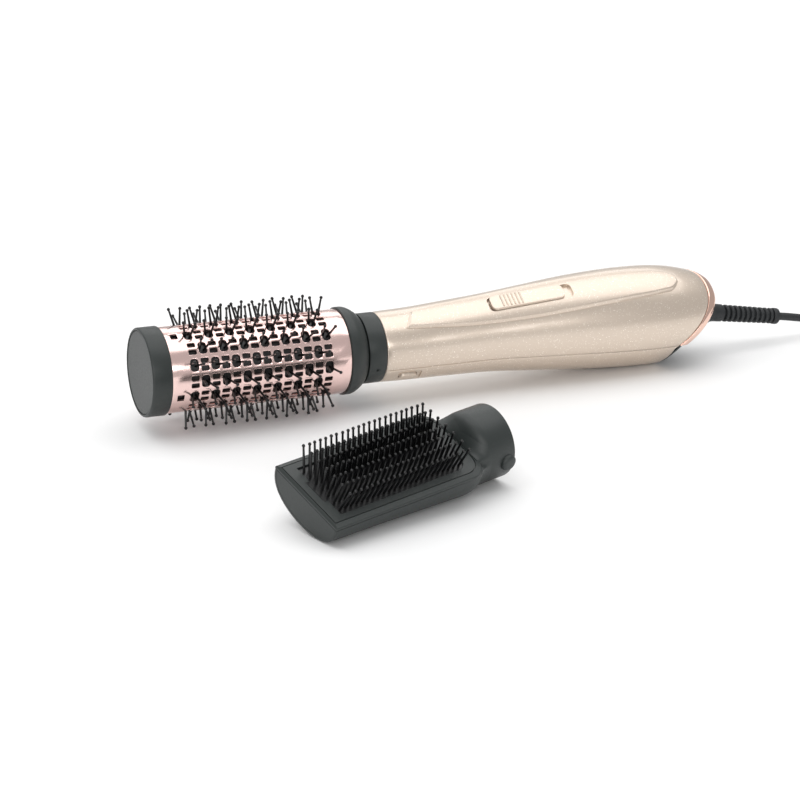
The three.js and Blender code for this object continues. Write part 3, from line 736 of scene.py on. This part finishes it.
def barrel():
    """Plated barrel: 16 rows of holes, each row a large hole and a split pair in turn.

    It's made flat, cut along its length where the facets meet, and rolled up.
    """
    cell_height = 2 * math.pi / ROWS * BARREL_R
    work = bmesh.new()
    for row, x, points, triangles in barrel_cells(cell_height):
        spots = [work.verts.new((x + p.x, row * cell_height + p.y, 0)) for p in points]
        for face in triangles:
            if len(set(face)) == 3:
                work.faces.new([spots[i] for i in face])
    for k in range(1, ROWS * ROW_FACETS):
        if k % ROW_FACETS:
            at = -cell_height / 2 + cell_height * k / ROW_FACETS
            bmesh.ops.bisect_plane(
                work,
                geom=work.verts[:] + work.edges[:] + work.faces[:],
                plane_co=(0, at, 0),
                plane_no=(0, 1, 0),
            )
    for vertex in work.verts:
        spot = around_axis(vertex.co.x, BARREL_R, vertex.co.y / BARREL_R)
        vertex.co = BRUSH @ (Vector(spot) * MM)
    bmesh.ops.remove_doubles(work, verts=work.verts, dist=3e-5)
    bmesh.ops.recalc_face_normals(work, faces=work.faces)
    mesh = bpy.data.meshes.new("barrel_shell")
    work.to_mesh(mesh)
    work.free()
    mesh.shade_smooth()
    made = in_scene("barrel_shell", mesh)
    centre = BRUSH @ Vector(((BARREL_START + BARREL_END) / 2 * MM, 0, 0))
    if (mesh.polygons[0].center - centre).dot(mesh.polygons[0].normal) < 0:
        mesh.flip_normals()
    wall = made.modifiers.new("wall", "SOLIDIFY")
    wall.thickness = BARREL_WALL * MM
    wall.offset = -1
    bevelled(made, BARREL_EDGE, angle=50)
    finish_piece(made, "rose_gold_barrel", "round_head", "barrel")


def bristle_parts(base, tip, radius, ball):
    """A thin tapered bristle with a ball on its end, as (points, faces)."""
    along = (tip - base).normalized()
    side = along.orthogonal().normalized()
    other = along.cross(side)
    length = (tip - base).length
    profile = [(0.0, radius), (length - ball * 1.1, radius * 0.74)]
    for k in range(BALL_RINGS):
        t = -math.pi / 2 + 0.55 + (math.pi - 0.6) * k / (BALL_RINGS - 1)
        profile.append((length - ball + ball * math.sin(t), ball * math.cos(t)))
    turns = [2 * math.pi * k / BRISTLE_SIDES for k in range(BRISTLE_SIDES)]
    around = [side * math.cos(t) + other * math.sin(t) for t in turns]
    return lofted([[tuple(base + along * d + out * r) for out in around] for d, r in profile])


def round_bristle(base, tip):
    """A round head's bristle, its tip lifted where it would go below the table."""
    low = BRISTLE_BALL_R * MM + TABLE_GAP - (BRUSH @ (tip * MM)).z
    if low > 0:
        tip = tip + Vector((0, 0, low / MM))
    return bristle_parts(base, tip, BRISTLE_R, BRISTLE_BALL_R)


def row_bristles(row):
    """Two bristles in each large hole of a row, leaning apart."""
    t = 2 * math.pi * row / ROWS
    out = Vector((0, -math.sin(t), math.cos(t)))
    around = Vector((0, -math.cos(t), -math.sin(t)))
    parts = []
    for k in range((row + 1) % 2, SLOTS, 2):
        for side in (-1, 1):
            x = FIRST_HOLE + SLOT_PITCH * k + side * 0.9
            lean = side * random.uniform(1.6, 3.1)
            drift = random.uniform(-0.9, 0.9)
            shorter = random.uniform(0, 0.8)
            base = Vector((x, 0, 0)) + out * BRISTLE_BASE_R + around * side * 0.7
            tip = Vector((x + lean, 0, 0)) + out * (BRISTLE_TIP_R - shorter)
            tip += around * (side * 0.8 + drift)
            parts.append(round_bristle(base, tip))
    return parts


def bristle_rows():
    """Eight strips inside the barrel, each with two rows of bristles."""
    for strip in range(ROWS // 2):
        rows = (2 * strip, 2 * strip + 1)
        mid = math.pi * (rows[0] + rows[1]) / ROWS
        angles = spread(mid - STRIP_HALF_ANGLE, mid + STRIP_HALF_ANGLE, 13)
        outer = [[around_axis(x, STRIP_OUTER_R, t) for t in angles] for x in STRIP_ENDS]
        inner = [[around_axis(x, STRIP_INNER_R, t) for t in angles] for x in STRIP_ENDS]
        parts = [skin_mesh(outer, inner)]
        for row in rows:
            parts += row_bristles(row)
        made = mesh_object(f"bristle_row_{strip + 1}", joined(parts), BRUSH, angle=50)
        finish_piece(made, "bristle_nylon", "round_head", f"bristle_strip_{strip + 1}")


def rear_collar():
    """Flared collar that the barrel's rear end sits in."""
    collar = [
        (118, 14.6), (118, 23.5), (120.9, 23.5), (120.9, 25.5), (121.3, CAP_R), (124.4, CAP_R),
        (125.6, 25.7), (127.2, 25.1), (129, 24.1), (130.8, 22.8), (132.1, 21.6), (132.6, 20.9),
        (132.6, 18.9), (122.4, 18.9), (122.4, 14.6),
    ]
    made = turned("flared_collar", collar, BRUSH, ROUND_SEGMENTS)
    finish_piece(made, "dark_plastic", "round_head", "rear_collar")


def neck_sleeve():
    """Dark sleeve behind the collar, with a dot in a small dimple."""
    sleeve = [
        (122.8, 17.6), (122.8, 18.6), (133.6, 18.6), (133.6, 20.2), (133.8, 20.6),
        (134.3, NECK_R), (143.9, NECK_R), (144.4, 20.6), (144.5, 20.3), (144.5, 17.6),
    ]
    made = turned("neck", sleeve, BRUSH, ROUND_SEGMENTS)
    spot = Matrix.Translation(Vector(around_axis(DIMPLE_X, NECK_R, DIMPLE_ANGLE)) * MM)
    facing = BRUSH @ spot @ Matrix.Rotation(DIMPLE_TILT, 4, "X")
    drill = [(-0.9, 0), (-0.9, 0.9), (0.9, 0.9), (0.9, 0)]
    cut_out(made, turned("dimple", drill, facing @ Matrix.Rotation(math.pi / 2, 4, "Y"), 20))
    finish_piece(made, "dark_plastic", "round_head", "neck_sleeve")
    inset = [(-0.8, 0), (-0.8, 0.72), (-0.25, 0.72), (-0.25, 0)]
    dot = turned("index_dot", inset, facing @ Matrix.Rotation(-math.pi / 2, 4, "Y"), 20)
    finish_piece(dot, "dark_plastic", "round_head")


# ---- handle --------
def profile_at(x):
    """Radius and lift of the handle at x, on a smooth curve through PROFILE."""
    if x <= PROFILE[0][0]:
        return PROFILE[0][1:]
    if x >= PROFILE[-1][0]:
        return PROFILE[-1][1:]
    i = next(k for k in range(1, len(PROFILE)) if x <= PROFILE[k][0])
    before = PROFILE[max(i - 2, 0)]
    start = PROFILE[i - 1]
    stop = PROFILE[i]
    after = PROFILE[min(i + 1, len(PROFILE) - 1)]
    span = stop[0] - start[0]
    f = (x - start[0]) / span
    start_share = 2 * f**3 - 3 * f**2 + 1
    start_slope_share = f**3 - 2 * f**2 + f
    stop_slope_share = f**3 - f**2
    values = []
    for c in (1, 2):
        start_slope = (stop[c] - before[c]) / (stop[0] - before[0]) * span
        stop_slope = (after[c] - start[c]) / (after[0] - start[0]) * span
        values.append(
            start_share * start[c]
            + start_slope_share * start_slope
            + (1 - start_share) * stop[c]
            + stop_slope_share * stop_slope
        )
    return values


def sweep(angle):
    """How far the rear rim swings forward, from none at the top."""
    up = math.sin(angle)
    if up > 0:
        return SIDE_SWEEP * (1 - up) ** 1.35
    return SIDE_SWEEP + (LOW_SWEEP - SIDE_SWEEP) * smoothstep(-up, 0, 0.5)


def skin(x, angle, depth):
    """A point depth millimetres under the handle's surface, its rear swept forward."""
    at = x - smoothstep(x, SWEEP_START, HANDLE_END) * sweep(angle)
    r, lift = profile_at(at)
    return (at, (r - depth) * math.cos(angle), (r - depth) * math.sin(angle) + lift)


def casing_half(name, low, high):
    """One half of the casing, its edges rounded into the seam and at both ends."""
    columns = 72
    rows = 96
    inside = spread(low + 0.03, high - 0.03, columns)
    angles = [low + 0.004, low + 0.012, *inside, high - 0.012, high - 0.004]
    seam_depth = [0.35, 0.08, *([0.0] * columns), 0.08, 0.35]
    between = spread(153.5, 359.6, rows)
    stations = [HANDLE_START, 152.1, 152.7, *between, 360.4, HANDLE_END]
    rim_depth = [0.55, 0.25, 0.06, *([0.0] * rows), 0.08, 0.3]
    outer = []
    for x, rim in zip(stations, rim_depth):
        outer.append([skin(x, t, max(rim, seam)) for t, seam in zip(angles, seam_depth)])
    inner = [[skin(x, t, CASING_WALL) for t in angles] for x in stations]
    return mesh_object(name, skin_mesh(outer, inner), HANDLE, angle=45)


def casings():
    """Upper casing with the switch's well, lower one with the button's hole and screw bores."""
    upper = casing_half("casing_upper", SEAM, math.pi - SEAM)
    cut_out(upper, rounded_cutter("well", (234, 254), (-3.2, 3.2), (18, 40), HANDLE, 1))
    finish_piece(upper, "champagne_paint", "handle", "upper_casing")
    lower = casing_half("casing_lower", math.pi - SEAM, 2 * math.pi + SEAM)
    turn = HANDLE @ Matrix.Rotation(BUTTON_TURN, 4, "X")
    cut_out(lower, rounded_cutter("ledge", (150, 174.6), (-5.2, 9), (-30, -20.6), turn, 2.6))
    hole = rounded_cutter("hole", (160.75, 172.25), (-3.25, 3.25), (-24, -14), turn, 3.1)
    cut_out(lower, hole)
    bore = [(-6, 0), (-6, 2.1), (6, 2.1), (6, 0)]
    for x, z in SCREW_BORES:
        spot = Matrix.Translation(Vector((x, 0, z)) * MM)
        place = HANDLE @ spot @ Matrix.Rotation(math.pi / 2, 4, "Y")
        cut_out(lower, turned("bore", bore, place, 24))
    rest_on_table(lower)
    finish_piece(lower, "champagne_paint", "handle", "lower_casing")


def panel_half(x):
    """Half the angle that the top panel takes round the handle at x."""
    bow = 0.08 * math.sin(math.pi * (x - PANEL_START) / (PANEL_END - PANEL_START))
    half = between_rows(PANEL_HALF_ANGLES, x)[0] + bow
    left = PANEL_END - x
    if left < PANEL_END_ROUND:
        gone = (PANEL_END_ROUND - left) / PANEL_END_ROUND
        half = half * math.sqrt(max(1 - gone**2, 0.02))
    return half


def top_panel():
    """Raised leaf-shaped panel with sloped walls, cut for the switch."""
    edge = [0, 0.006, 0.014, 0.03, 0.06, 0.09, 0.12, 0.16]
    across = [-1 + e for e in edge] + spread(-0.8, 0.8, 30) + [1 - e for e in reversed(edge)]
    ends = [0, 0.12, 0.26, 0.6, 1.1, 1.7]
    stations = [PANEL_START + e for e in ends]
    stations += spread(PANEL_START + 3, PANEL_END - 6.5, 180)
    stations += spread(PANEL_END - PANEL_END_ROUND, PANEL_END - 2, 9)
    stations += [PANEL_END - e for e in reversed(ends)]
    top = []
    under = []
    for x in stations:
        half = panel_half(x)
        from_end = min(x - PANEL_START, PANEL_END - x)
        top_line = []
        under_line = []
        for v in across:
            angle = math.pi / 2 + v * half
            from_side = (1 - abs(v)) * half * 25
            inward = min(from_side, from_end)
            rise = 0.7 * smoothstep(inward, 0.0, 0.25) + 1.25 * smoothstep(inward, 0.3, 1.7)
            skew = 3.0 * v * (1 - smoothstep(x, PANEL_START, PANEL_START + 20))
            top_line.append(skin(x - skew, angle, 0.15 - rise))
            under_line.append(skin(x - skew, angle, 1.2))
        top.append(top_line)
        under.append(under_line)
    made = mesh_object("panel", skin_mesh(top, under), HANDLE, angle=60)
    cut_out(made, rounded_cutter("slot", (217.5, 270.5), (-5.4, 5.4), (18, 45), HANDLE, 3.2))
    finish_piece(made, "champagne_paint", "handle", "top_panel")


def power_switch():
    """Sliding switch with six grip ridges and a foot in the well below it."""
    spot = Matrix.Translation(Vector((SWITCH_X, 0, SWITCH_HEIGHT)) * MM)
    place = HANDLE @ spot @ Matrix.Rotation(-SWITCH_TILT, 4, "Y")
    slider = domed_block(SWITCH_SIZE, [(0.5, 0.0), (1.9, 0.0), (2.35, 0.15), (2.5, 0.55)])
    parts = [slider, box_mesh(-6, 6, -2.5, 2.5, -8, 0.8)]
    ridge_ends = (-4.2, 4.2)
    for k in range(SWITCH_RIDGES):
        x = -16.5 + SWITCH_RIDGE_PITCH * k + 0.55
        arc = [(x + 0.55 * math.cos(t), 2.35 + 0.8 * math.sin(t)) for t in spread(0, math.pi, 7)]
        outer = [[(a, y, b) for a, b in arc] for y in ridge_ends]
        inner = [[(a, y, 2.2) for a, _ in arc] for y in ridge_ends]
        parts.append(skin_mesh(outer, inner))
    made = mesh_object("slide_switch", joined(parts), place)
    finish_piece(made, "champagne_paint", "switch", "power_switch")


def release_button():
    """Oval button that frees the head, with a stem on the spring."""
    spot = Matrix.Translation(Vector((BUTTON_X, 0, 0)) * MM)
    place = HANDLE @ Matrix.Rotation(BUTTON_TURN, 4, "X") @ spot
    levels = [(-18.3, 0.0), (-21.6, 0.0), (-22.1, 0.25), (-22.35, 0.8)]
    stem = box_mesh(-1, 1, -1, 1, -18.6, -16.4)
    made = mesh_object("head_release", joined([domed_block(BUTTON_SIZE, levels), stem]), place)
    finish_piece(made, "champagne_paint", "button", "release_button")


def spigot():
    """Dark air outlet that either head slides over."""
    corners = [
        (130, 15.4), (130, 16.7), (130.6, 17.3), (152, 17.3), (152, 17.8), (157, 17.8),
        (157, 15.4),
    ]
    made = turned("air_spigot", corners, HANDLE)
    finish_piece(made, "dark_plastic", "handle", "outlet_spigot")


def trim_ring():
    """Bright band round the casing's upper rear edge."""
    angles = spread(SEAM, math.pi - SEAM, 90)
    start = HANDLE_END + 0.55
    shape = [  # distance along, depth under the handle's surface
        (0, 0.35), (0.25, 0.0), (1.0, -0.28), (2.6, -0.3), (4.4, -0.25), (5.4, -0.05),
        (5.9, 0.35), (TRIM_WIDTH, 0.9),
    ]
    outer = [[skin(start + d, t, depth) for t in angles] for d, depth in shape]
    inner = [[skin(start + d, t, 2.4) for t in angles] for d, _ in shape]
    made = mesh_object("rear_trim", skin_mesh(outer, inner), HANDLE, angle=60)
    finish_piece(made, "rose_chrome", "handle", "trim_ring")


def cover_dome(t, f):
    """The intake cover's outside, from its rim at f = 0 to the rear face's middle at f = 1."""
    above = smoothstep(math.sin(t), -0.12, -0.02)
    in_trim = Vector(skin(HANDLE_END + TRIM_WIDTH + 0.6, t, 3.1))
    in_casing = Vector(skin(HANDLE_END + 0.5, t, 0.2))
    rim = in_casing.lerp(in_trim, above)
    low = 0.5 - 0.5 * math.sin(t)
    point = rim.lerp(Vector((REAR_FACE, 0, 1)), f)
    return tuple(point + Vector((COVER_BULGE * low * math.sin(math.pi * f) ** 0.7, 0, 0)))


def cover_mouth(t, f):
    """From halfway in on the dome to a round hole that clears the strain relief."""
    edge = Vector(cover_dome(t, 0.5))
    y = COVER_HOLE_R * math.cos(t) - 0.47
    z = COVER_HOLE_R * math.sin(t) - 0.8
    return tuple(edge.lerp(Vector((REAR_FACE + 0.4, y, z)), f))


def rear_cap():
    """Dark slatted intake cover, domed underneath."""
    angles = spread(0, 2 * math.pi, 97)[:-1]
    outer = [[cover_dome(t, 0.5 * k / 12) for t in angles] for k in range(13)]
    outer += [[cover_mouth(t, f) for t in angles] for f in (0.35, 0.7, 0.93, 1.0)]
    inner = []
    for i, line in enumerate(outer):
        ahead = 0 if i == 0 else 2
        inner.append([(x - ahead, y * 0.91, z * 0.91 + 0.08) for x, y, z in line])
    made = mesh_object("intake_cover", skin_mesh(outer, inner, ring=True), HANDLE, angle=50)
    slats = []
    for side in (-1, 1):
        for k in range(COVER_SLATS):
            z = side * (9.6 + 1.9 * k) + 1
            half = 12 - k * 1.4
            slats.append(box_mesh(350, 390, -half, half, z - 0.55, z + 0.55))
    cut_out(made, mesh_object("slats", joined(slats), HANDLE, smooth=False))
    rest_on_table(made)
    finish_piece(made, "dark_plastic", "handle", "rear_cap")


def strain_relief():
    """Ribbed sleeve round the cord: a collar, ten tapering ribs and an end bead."""
    bore = CORD_R + 0.3
    core = 3.4
    corners = [
        (0, bore), (0, 6.2), (8, 6.2), (9.2, 5.8), (11, 5.5), (16.6, 5.35), (17.2, 5.0),
        (17.4, core),
    ]
    for k in range(RELIEF_RIBS):
        x = 18.9 + RELIEF_RIB_PITCH * k
        r = 5.25 - 0.05 * k
        edges = [(0.15, r - 0.3), (0.5, r), (1.6, r), (1.95, r - 0.3)]
        corners += [(x, core), *[(x + d, height) for d, height in edges], (x + 2.1, core)]
    end = RELIEF_LENGTH
    corners += [
        (53.2, core), (53.3, 4.7), (53.7, 5.0), (56.2, 5.0), (56.8, 4.7), (end, 4.2),
        (end, bore),
    ]
    start = Matrix.Translation((RELIEF_START * MM, 0, 0))
    place = BRUSH @ start @ Matrix.Rotation(RELIEF_TILT, 4, "Y")
    made = turned("relief", corners, place, 48, 40)
    finish_piece(made, "cord_rubber", "handle", "strain_relief")


# ---- flat head --------
def flat_halves(u, inset):
    """The flat head's half width and depth at u, less inset."""
    width_share, depth_share = between_rows(FLAT_SHARES, u)
    return FLAT_WIDTH / 2 * width_share - inset, FLAT_DEPTH * depth_share - inset


def flat_section(u, inset):
    """Points along the flat head's rounded underside at u, from one edge to the other."""
    a, b = flat_halves(u, inset)
    turns = spread(0, math.pi, 48)
    return [(u, -a * math.cos(t), -b * max(math.sin(t), 0) ** 0.8) for t in turns]


def flat_shell():
    """The flat head's rounded back, and the flat plate that closes its end."""
    start = [(0, 0.5), (0.25, 0.15), (0.8, 0.0)]
    end = [(104.7, 0.2), (FLAT_LENGTH, 0.6)]
    stations = [*start, *[(u, 0.0) for u in spread(3, 104, 40)], *end]
    outer = [flat_section(u, inset) for u, inset in stations]
    inner = [flat_section(u, FLAT_WALL) for u, _ in stations]
    made = mesh_object("flat_back", skin_mesh(outer, inner), FLAT, angle=40)
    finish_piece(made, "dark_plastic", "flat_head", "flat_shell")
    section = flat_section(0.4, 0.7)
    plate = lofted([[(u, y, z) for _, y, z in section] for u in (0.1, 2.0)])
    made = mesh_object("flat_end", plate, FLAT, smooth=False)
    finish_piece(bevelled(made, 0.3), "dark_plastic", "flat_head", "flat_end_cap")


def rounded_end(front, side, straight, end, corner):
    """Outline with a square front at u=front and a rounded rear end."""
    near = [(front, -side), (straight, -side)]
    near += quadratic_curve((straight, -side), (end - 1, -side + 1), (end, -side + corner), 9)
    return near + [(u, -v) for u, v in reversed(near)]


def flat_bezel():
    """Wide frame round the pad, with one fine groove near its edge."""
    half = FLAT_WIDTH / 2
    end = FLAT_LENGTH
    loops = [  # front, half width, where the corner starts, end, corner, height
        (0.05, half - 0.1, 95, end, 12, 0.3),
        (0.05, half - 0.1, 95, end, 12, 1.3),
        (0.35, half - 0.5, 95, end - 0.4, 12, 1.9),
        (1.3, half - 3.2, 93, end - 2.4, 11, 2.75),
        (1.35, half - 3.25, 93, end - 2.5, 11, 2.1),
        (1.75, half - 3.65, 92.6, end - 2.9, 11, 2.1),
        (1.8, half - 3.7, 92.6, end - 3.0, 11, 2.8),
        (8.3, half - 7.6, 89, end - 8.2, 10, 2.9),
        (8.6, half - FRAME_SIDE, 88.8, end - 8.5, 10, 2.6),
        (8.6, half - FRAME_SIDE, 88.8, end - 8.5, 10, 0.3),
    ]
    rings = [[(*spot, z) for spot in rounded_end(*outline)] for *outline, z in loops]
    made = mesh_object("flat_frame", looped(rings), FLAT, angle=22)
    finish_piece(made, "dark_plastic", "flat_head", "flat_bezel")


def pad_cushion(half):
    """The pad under the bristles, crowned across and rounded at its rear."""
    across = spread(-1, 1, 31)
    outline = [(6, half), (30, half), (60, half), (88.8, half)]
    corner = quadratic_curve((88.8, -half), (95.5, 1 - half), (96.5, 10 - half), 8)
    outline += [(u, -v) for u, v in corner]
    outer = []
    inner = []
    for u, h in outline:
        outer.append([(u, v * h, PAD_EDGE_HEIGHT + PAD_CROWN * (1 - v * v)) for v in across])
        inner.append([(u, v * h, 0.2) for v in across])
    return skin_mesh(outer, inner)


def flat_pad():
    """Cushioned pad with seven rows of bristles that fan out across it."""
    half = FLAT_WIDTH / 2 - FRAME_SIDE
    parts = [pad_cushion(half)]
    for row in range(FLAT_ROWS):
        v = 2 * row / (FLAT_ROWS - 1) - 1
        lean = v * FLAT_LEAN
        y = v * FLAT_ROW_HALF
        z = PAD_EDGE_HEIGHT + PAD_CROWN * (1 - (y / half) ** 2)
        reach_y = FLAT_BRISTLE_LENGTH * math.sin(lean)
        reach_z = FLAT_BRISTLE_LENGTH * math.cos(lean)
        for k in range(FLAT_COLUMNS):
            u = FLAT_COLUMN_START + FLAT_COLUMN_PITCH * k
            base = Vector((u, y, z - 0.6))
            jitter = Vector((random.uniform(-0.25, 0.25), random.uniform(-0.25, 0.25), 0))
            tip = Vector((u, y + reach_y, 2 + reach_z)) + jitter
            parts.append(bristle_parts(base, tip, FLAT_BRISTLE_R, FLAT_BALL_R))
    made = mesh_object("flat_bristles", joined(parts), FLAT, angle=50)
    finish_piece(made, "bristle_nylon", "flat_head", "flat_pad")


def head_reach(turn, u):
    """How far the flat head's section reaches from the collar's axis."""
    a, b = flat_halves(u, 0.2)
    low = 4.0
    high = 32.0
    for _ in range(24):
        r = (low + high) / 2
        across = r * math.sin(turn)
        up = r * math.cos(turn) - FLAT_COLLAR_DROP
        if up > -1:
            room = min(a, HOOD_HALF)
        else:
            room = a * math.sqrt(max(1 - min(-up / b, 1) ** 2.5, 0))
        if up < 2.6 and abs(across) < room:
            low = r
        else:
            high = r
    return low


def flat_shoulder():
    """Smooth hood from the flat head's end to its round collar."""
    turns = spread(0, 2 * math.pi, 121)[:-1]
    reach = [head_reach(t, FLAT_LENGTH - 1) for t in turns]

    def ring(u, radii):
        spots = [(r * math.sin(t), r * math.cos(t)) for r, t in zip(radii, turns)]
        return [(u, y, z - FLAT_COLLAR_DROP) for y, z in spots]

    outer = []
    inner = []
    for f in spread(0, 1, 22):
        share = math.sin(math.pi / 2 * f) ** 0.9
        radii = [a + (FLAT_COLLAR_R - 0.03 - a) * share for a in reach]
        u = FLAT_LENGTH - 1.6 + HOOD_LENGTH * f
        outer.append(ring(u, radii))
        inner.append(ring(u, [r - 1 for r in radii]))
    made = mesh_object("flat_hood", skin_mesh(outer, inner, ring=True), FLAT, angle=40)
    finish_piece(made, "dark_plastic", "flat_head")


def flat_collar():
    """Round socket at the flat head's rear, tapered inside the hood, with its latch."""
    start = FLAT_LENGTH + 0.3
    end = start + FLAT_COLLAR_LENGTH
    corners = [
        (start, 11.5), (start, 12.8), (start + 0.8, 14.6), (start + 1.7, 16.4),
        (start + 2.7, 18.1), (start + 3.8, 19.4), (start + 5, 20.3), (start + 6.3, 20.8),
        (start + 8, FLAT_COLLAR_R), (end - 0.9, FLAT_COLLAR_R), (end - 0.3, 20.8), (end, 20.3),
        (end, 18.0), (end - 0.5, FLAT_COLLAR_BORE), (start + 3.2, FLAT_COLLAR_BORE),
    ]
    place = FLAT @ Matrix.Translation((0, 0, -FLAT_COLLAR_DROP * MM))
    made = turned("flat_socket", corners, place, ROUND_SEGMENTS)
    finish_piece(made, "dark_plastic", "flat_head", "flat_collar")
    flat_shoulder()
    knob = [
        (19.5, 0), (19.5, 4.9), (21.6, 4.8), (22.3, 4.45), (22.8, 3.8), (23.1, 2.8),
        (23.15, 1.2), (23.15, 0),
    ]
    spot = Matrix.Translation(Vector((end - 5, 0, 0)) * MM)
    turn = place @ Matrix.Rotation(LATCH_TURN, 4, "X") @ spot
    latch = turned("flat_latch", knob, turn @ Matrix.Rotation(math.pi / 2, 4, "Y"), 40)
    finish_piece(latch, "dark_plastic", "flat_head")


# ---- CAD nodes that stay in view through openings --------
def paint_frame():
    """Gives each CAD node that is still shown its own material."""
    for part in frame["record"]["subparts"]:
        shown = frame["nodes"][part["node"]]
        shown.data.materials.clear()
        shown.data.materials.append(MATERIALS[part["material_slot"]])


# ---- studio --------
def area_light(name, place, aim, size, power):
    data = bpy.data.lights.new(name, "AREA")
    data.shape = "RECTANGLE"
    data.size, data.size_y = size
    data.energy = power
    lamp = in_scene(name, data)
    lamp.location = place
    lamp.rotation_mode = "QUATERNION"
    lamp.rotation_quaternion = (Vector(aim) - Vector(place)).to_track_quat("-Z", "Y")


def studio():
    """White table, pale sky and four soft lights."""
    half = 6
    corners = [(-half, -half, 0), (half, -half, 0), (half, half, 0), (-half, half, 0)]
    mesh = bpy.data.meshes.new("floor")
    mesh.from_pydata(corners, [], [(0, 1, 2, 3)])
    mesh.materials.append(new_material("floor_white", (0.93, 0.93, 0.93), 0.75))
    floor = in_scene("floor", mesh)
    world = bpy.data.worlds.new("studio")
    world.use_nodes = True
    sky = world.node_tree.nodes["Background"]
    sky.inputs["Color"].default_value = (1.0, 1.0, 1.0, 1)
    sky.inputs["Strength"].default_value = 0.5
    bpy.context.scene.world = world
    area_light("overhead", (0.0, 0.2, 1.4), (0.0, 0.1, 0), size=(3.0, 1.5), power=19.5)
    area_light("backdrop", (0.0, 2.6, 1.6), (0.0, 2.4, 0), size=(4.0, 2.0), power=30)
    area_light("front", (-0.35, -1.5, 0.7), (0, 0, 0.03), size=(1.6, 0.3), power=5)
    area_light("left", (-1.0, -1.2, 0.7), (0, 0, 0.03), size=(0.7, 0.6), power=2.5)
    bpy.context.scene.view_settings.view_transform = "Standard"


make_camera()
cord, cord_exit = make_cord()
plug = make_plug()
pins = make_pins()
front_cap()
barrel()
bristle_rows()
rear_collar()
neck_sleeve()
casings()
top_panel()
power_switch()
release_button()
spigot()
trim_ring()
rear_cap()
strain_relief()
flat_shell()
flat_bezel()
flat_pad()
flat_collar()
paint_frame()
studio()
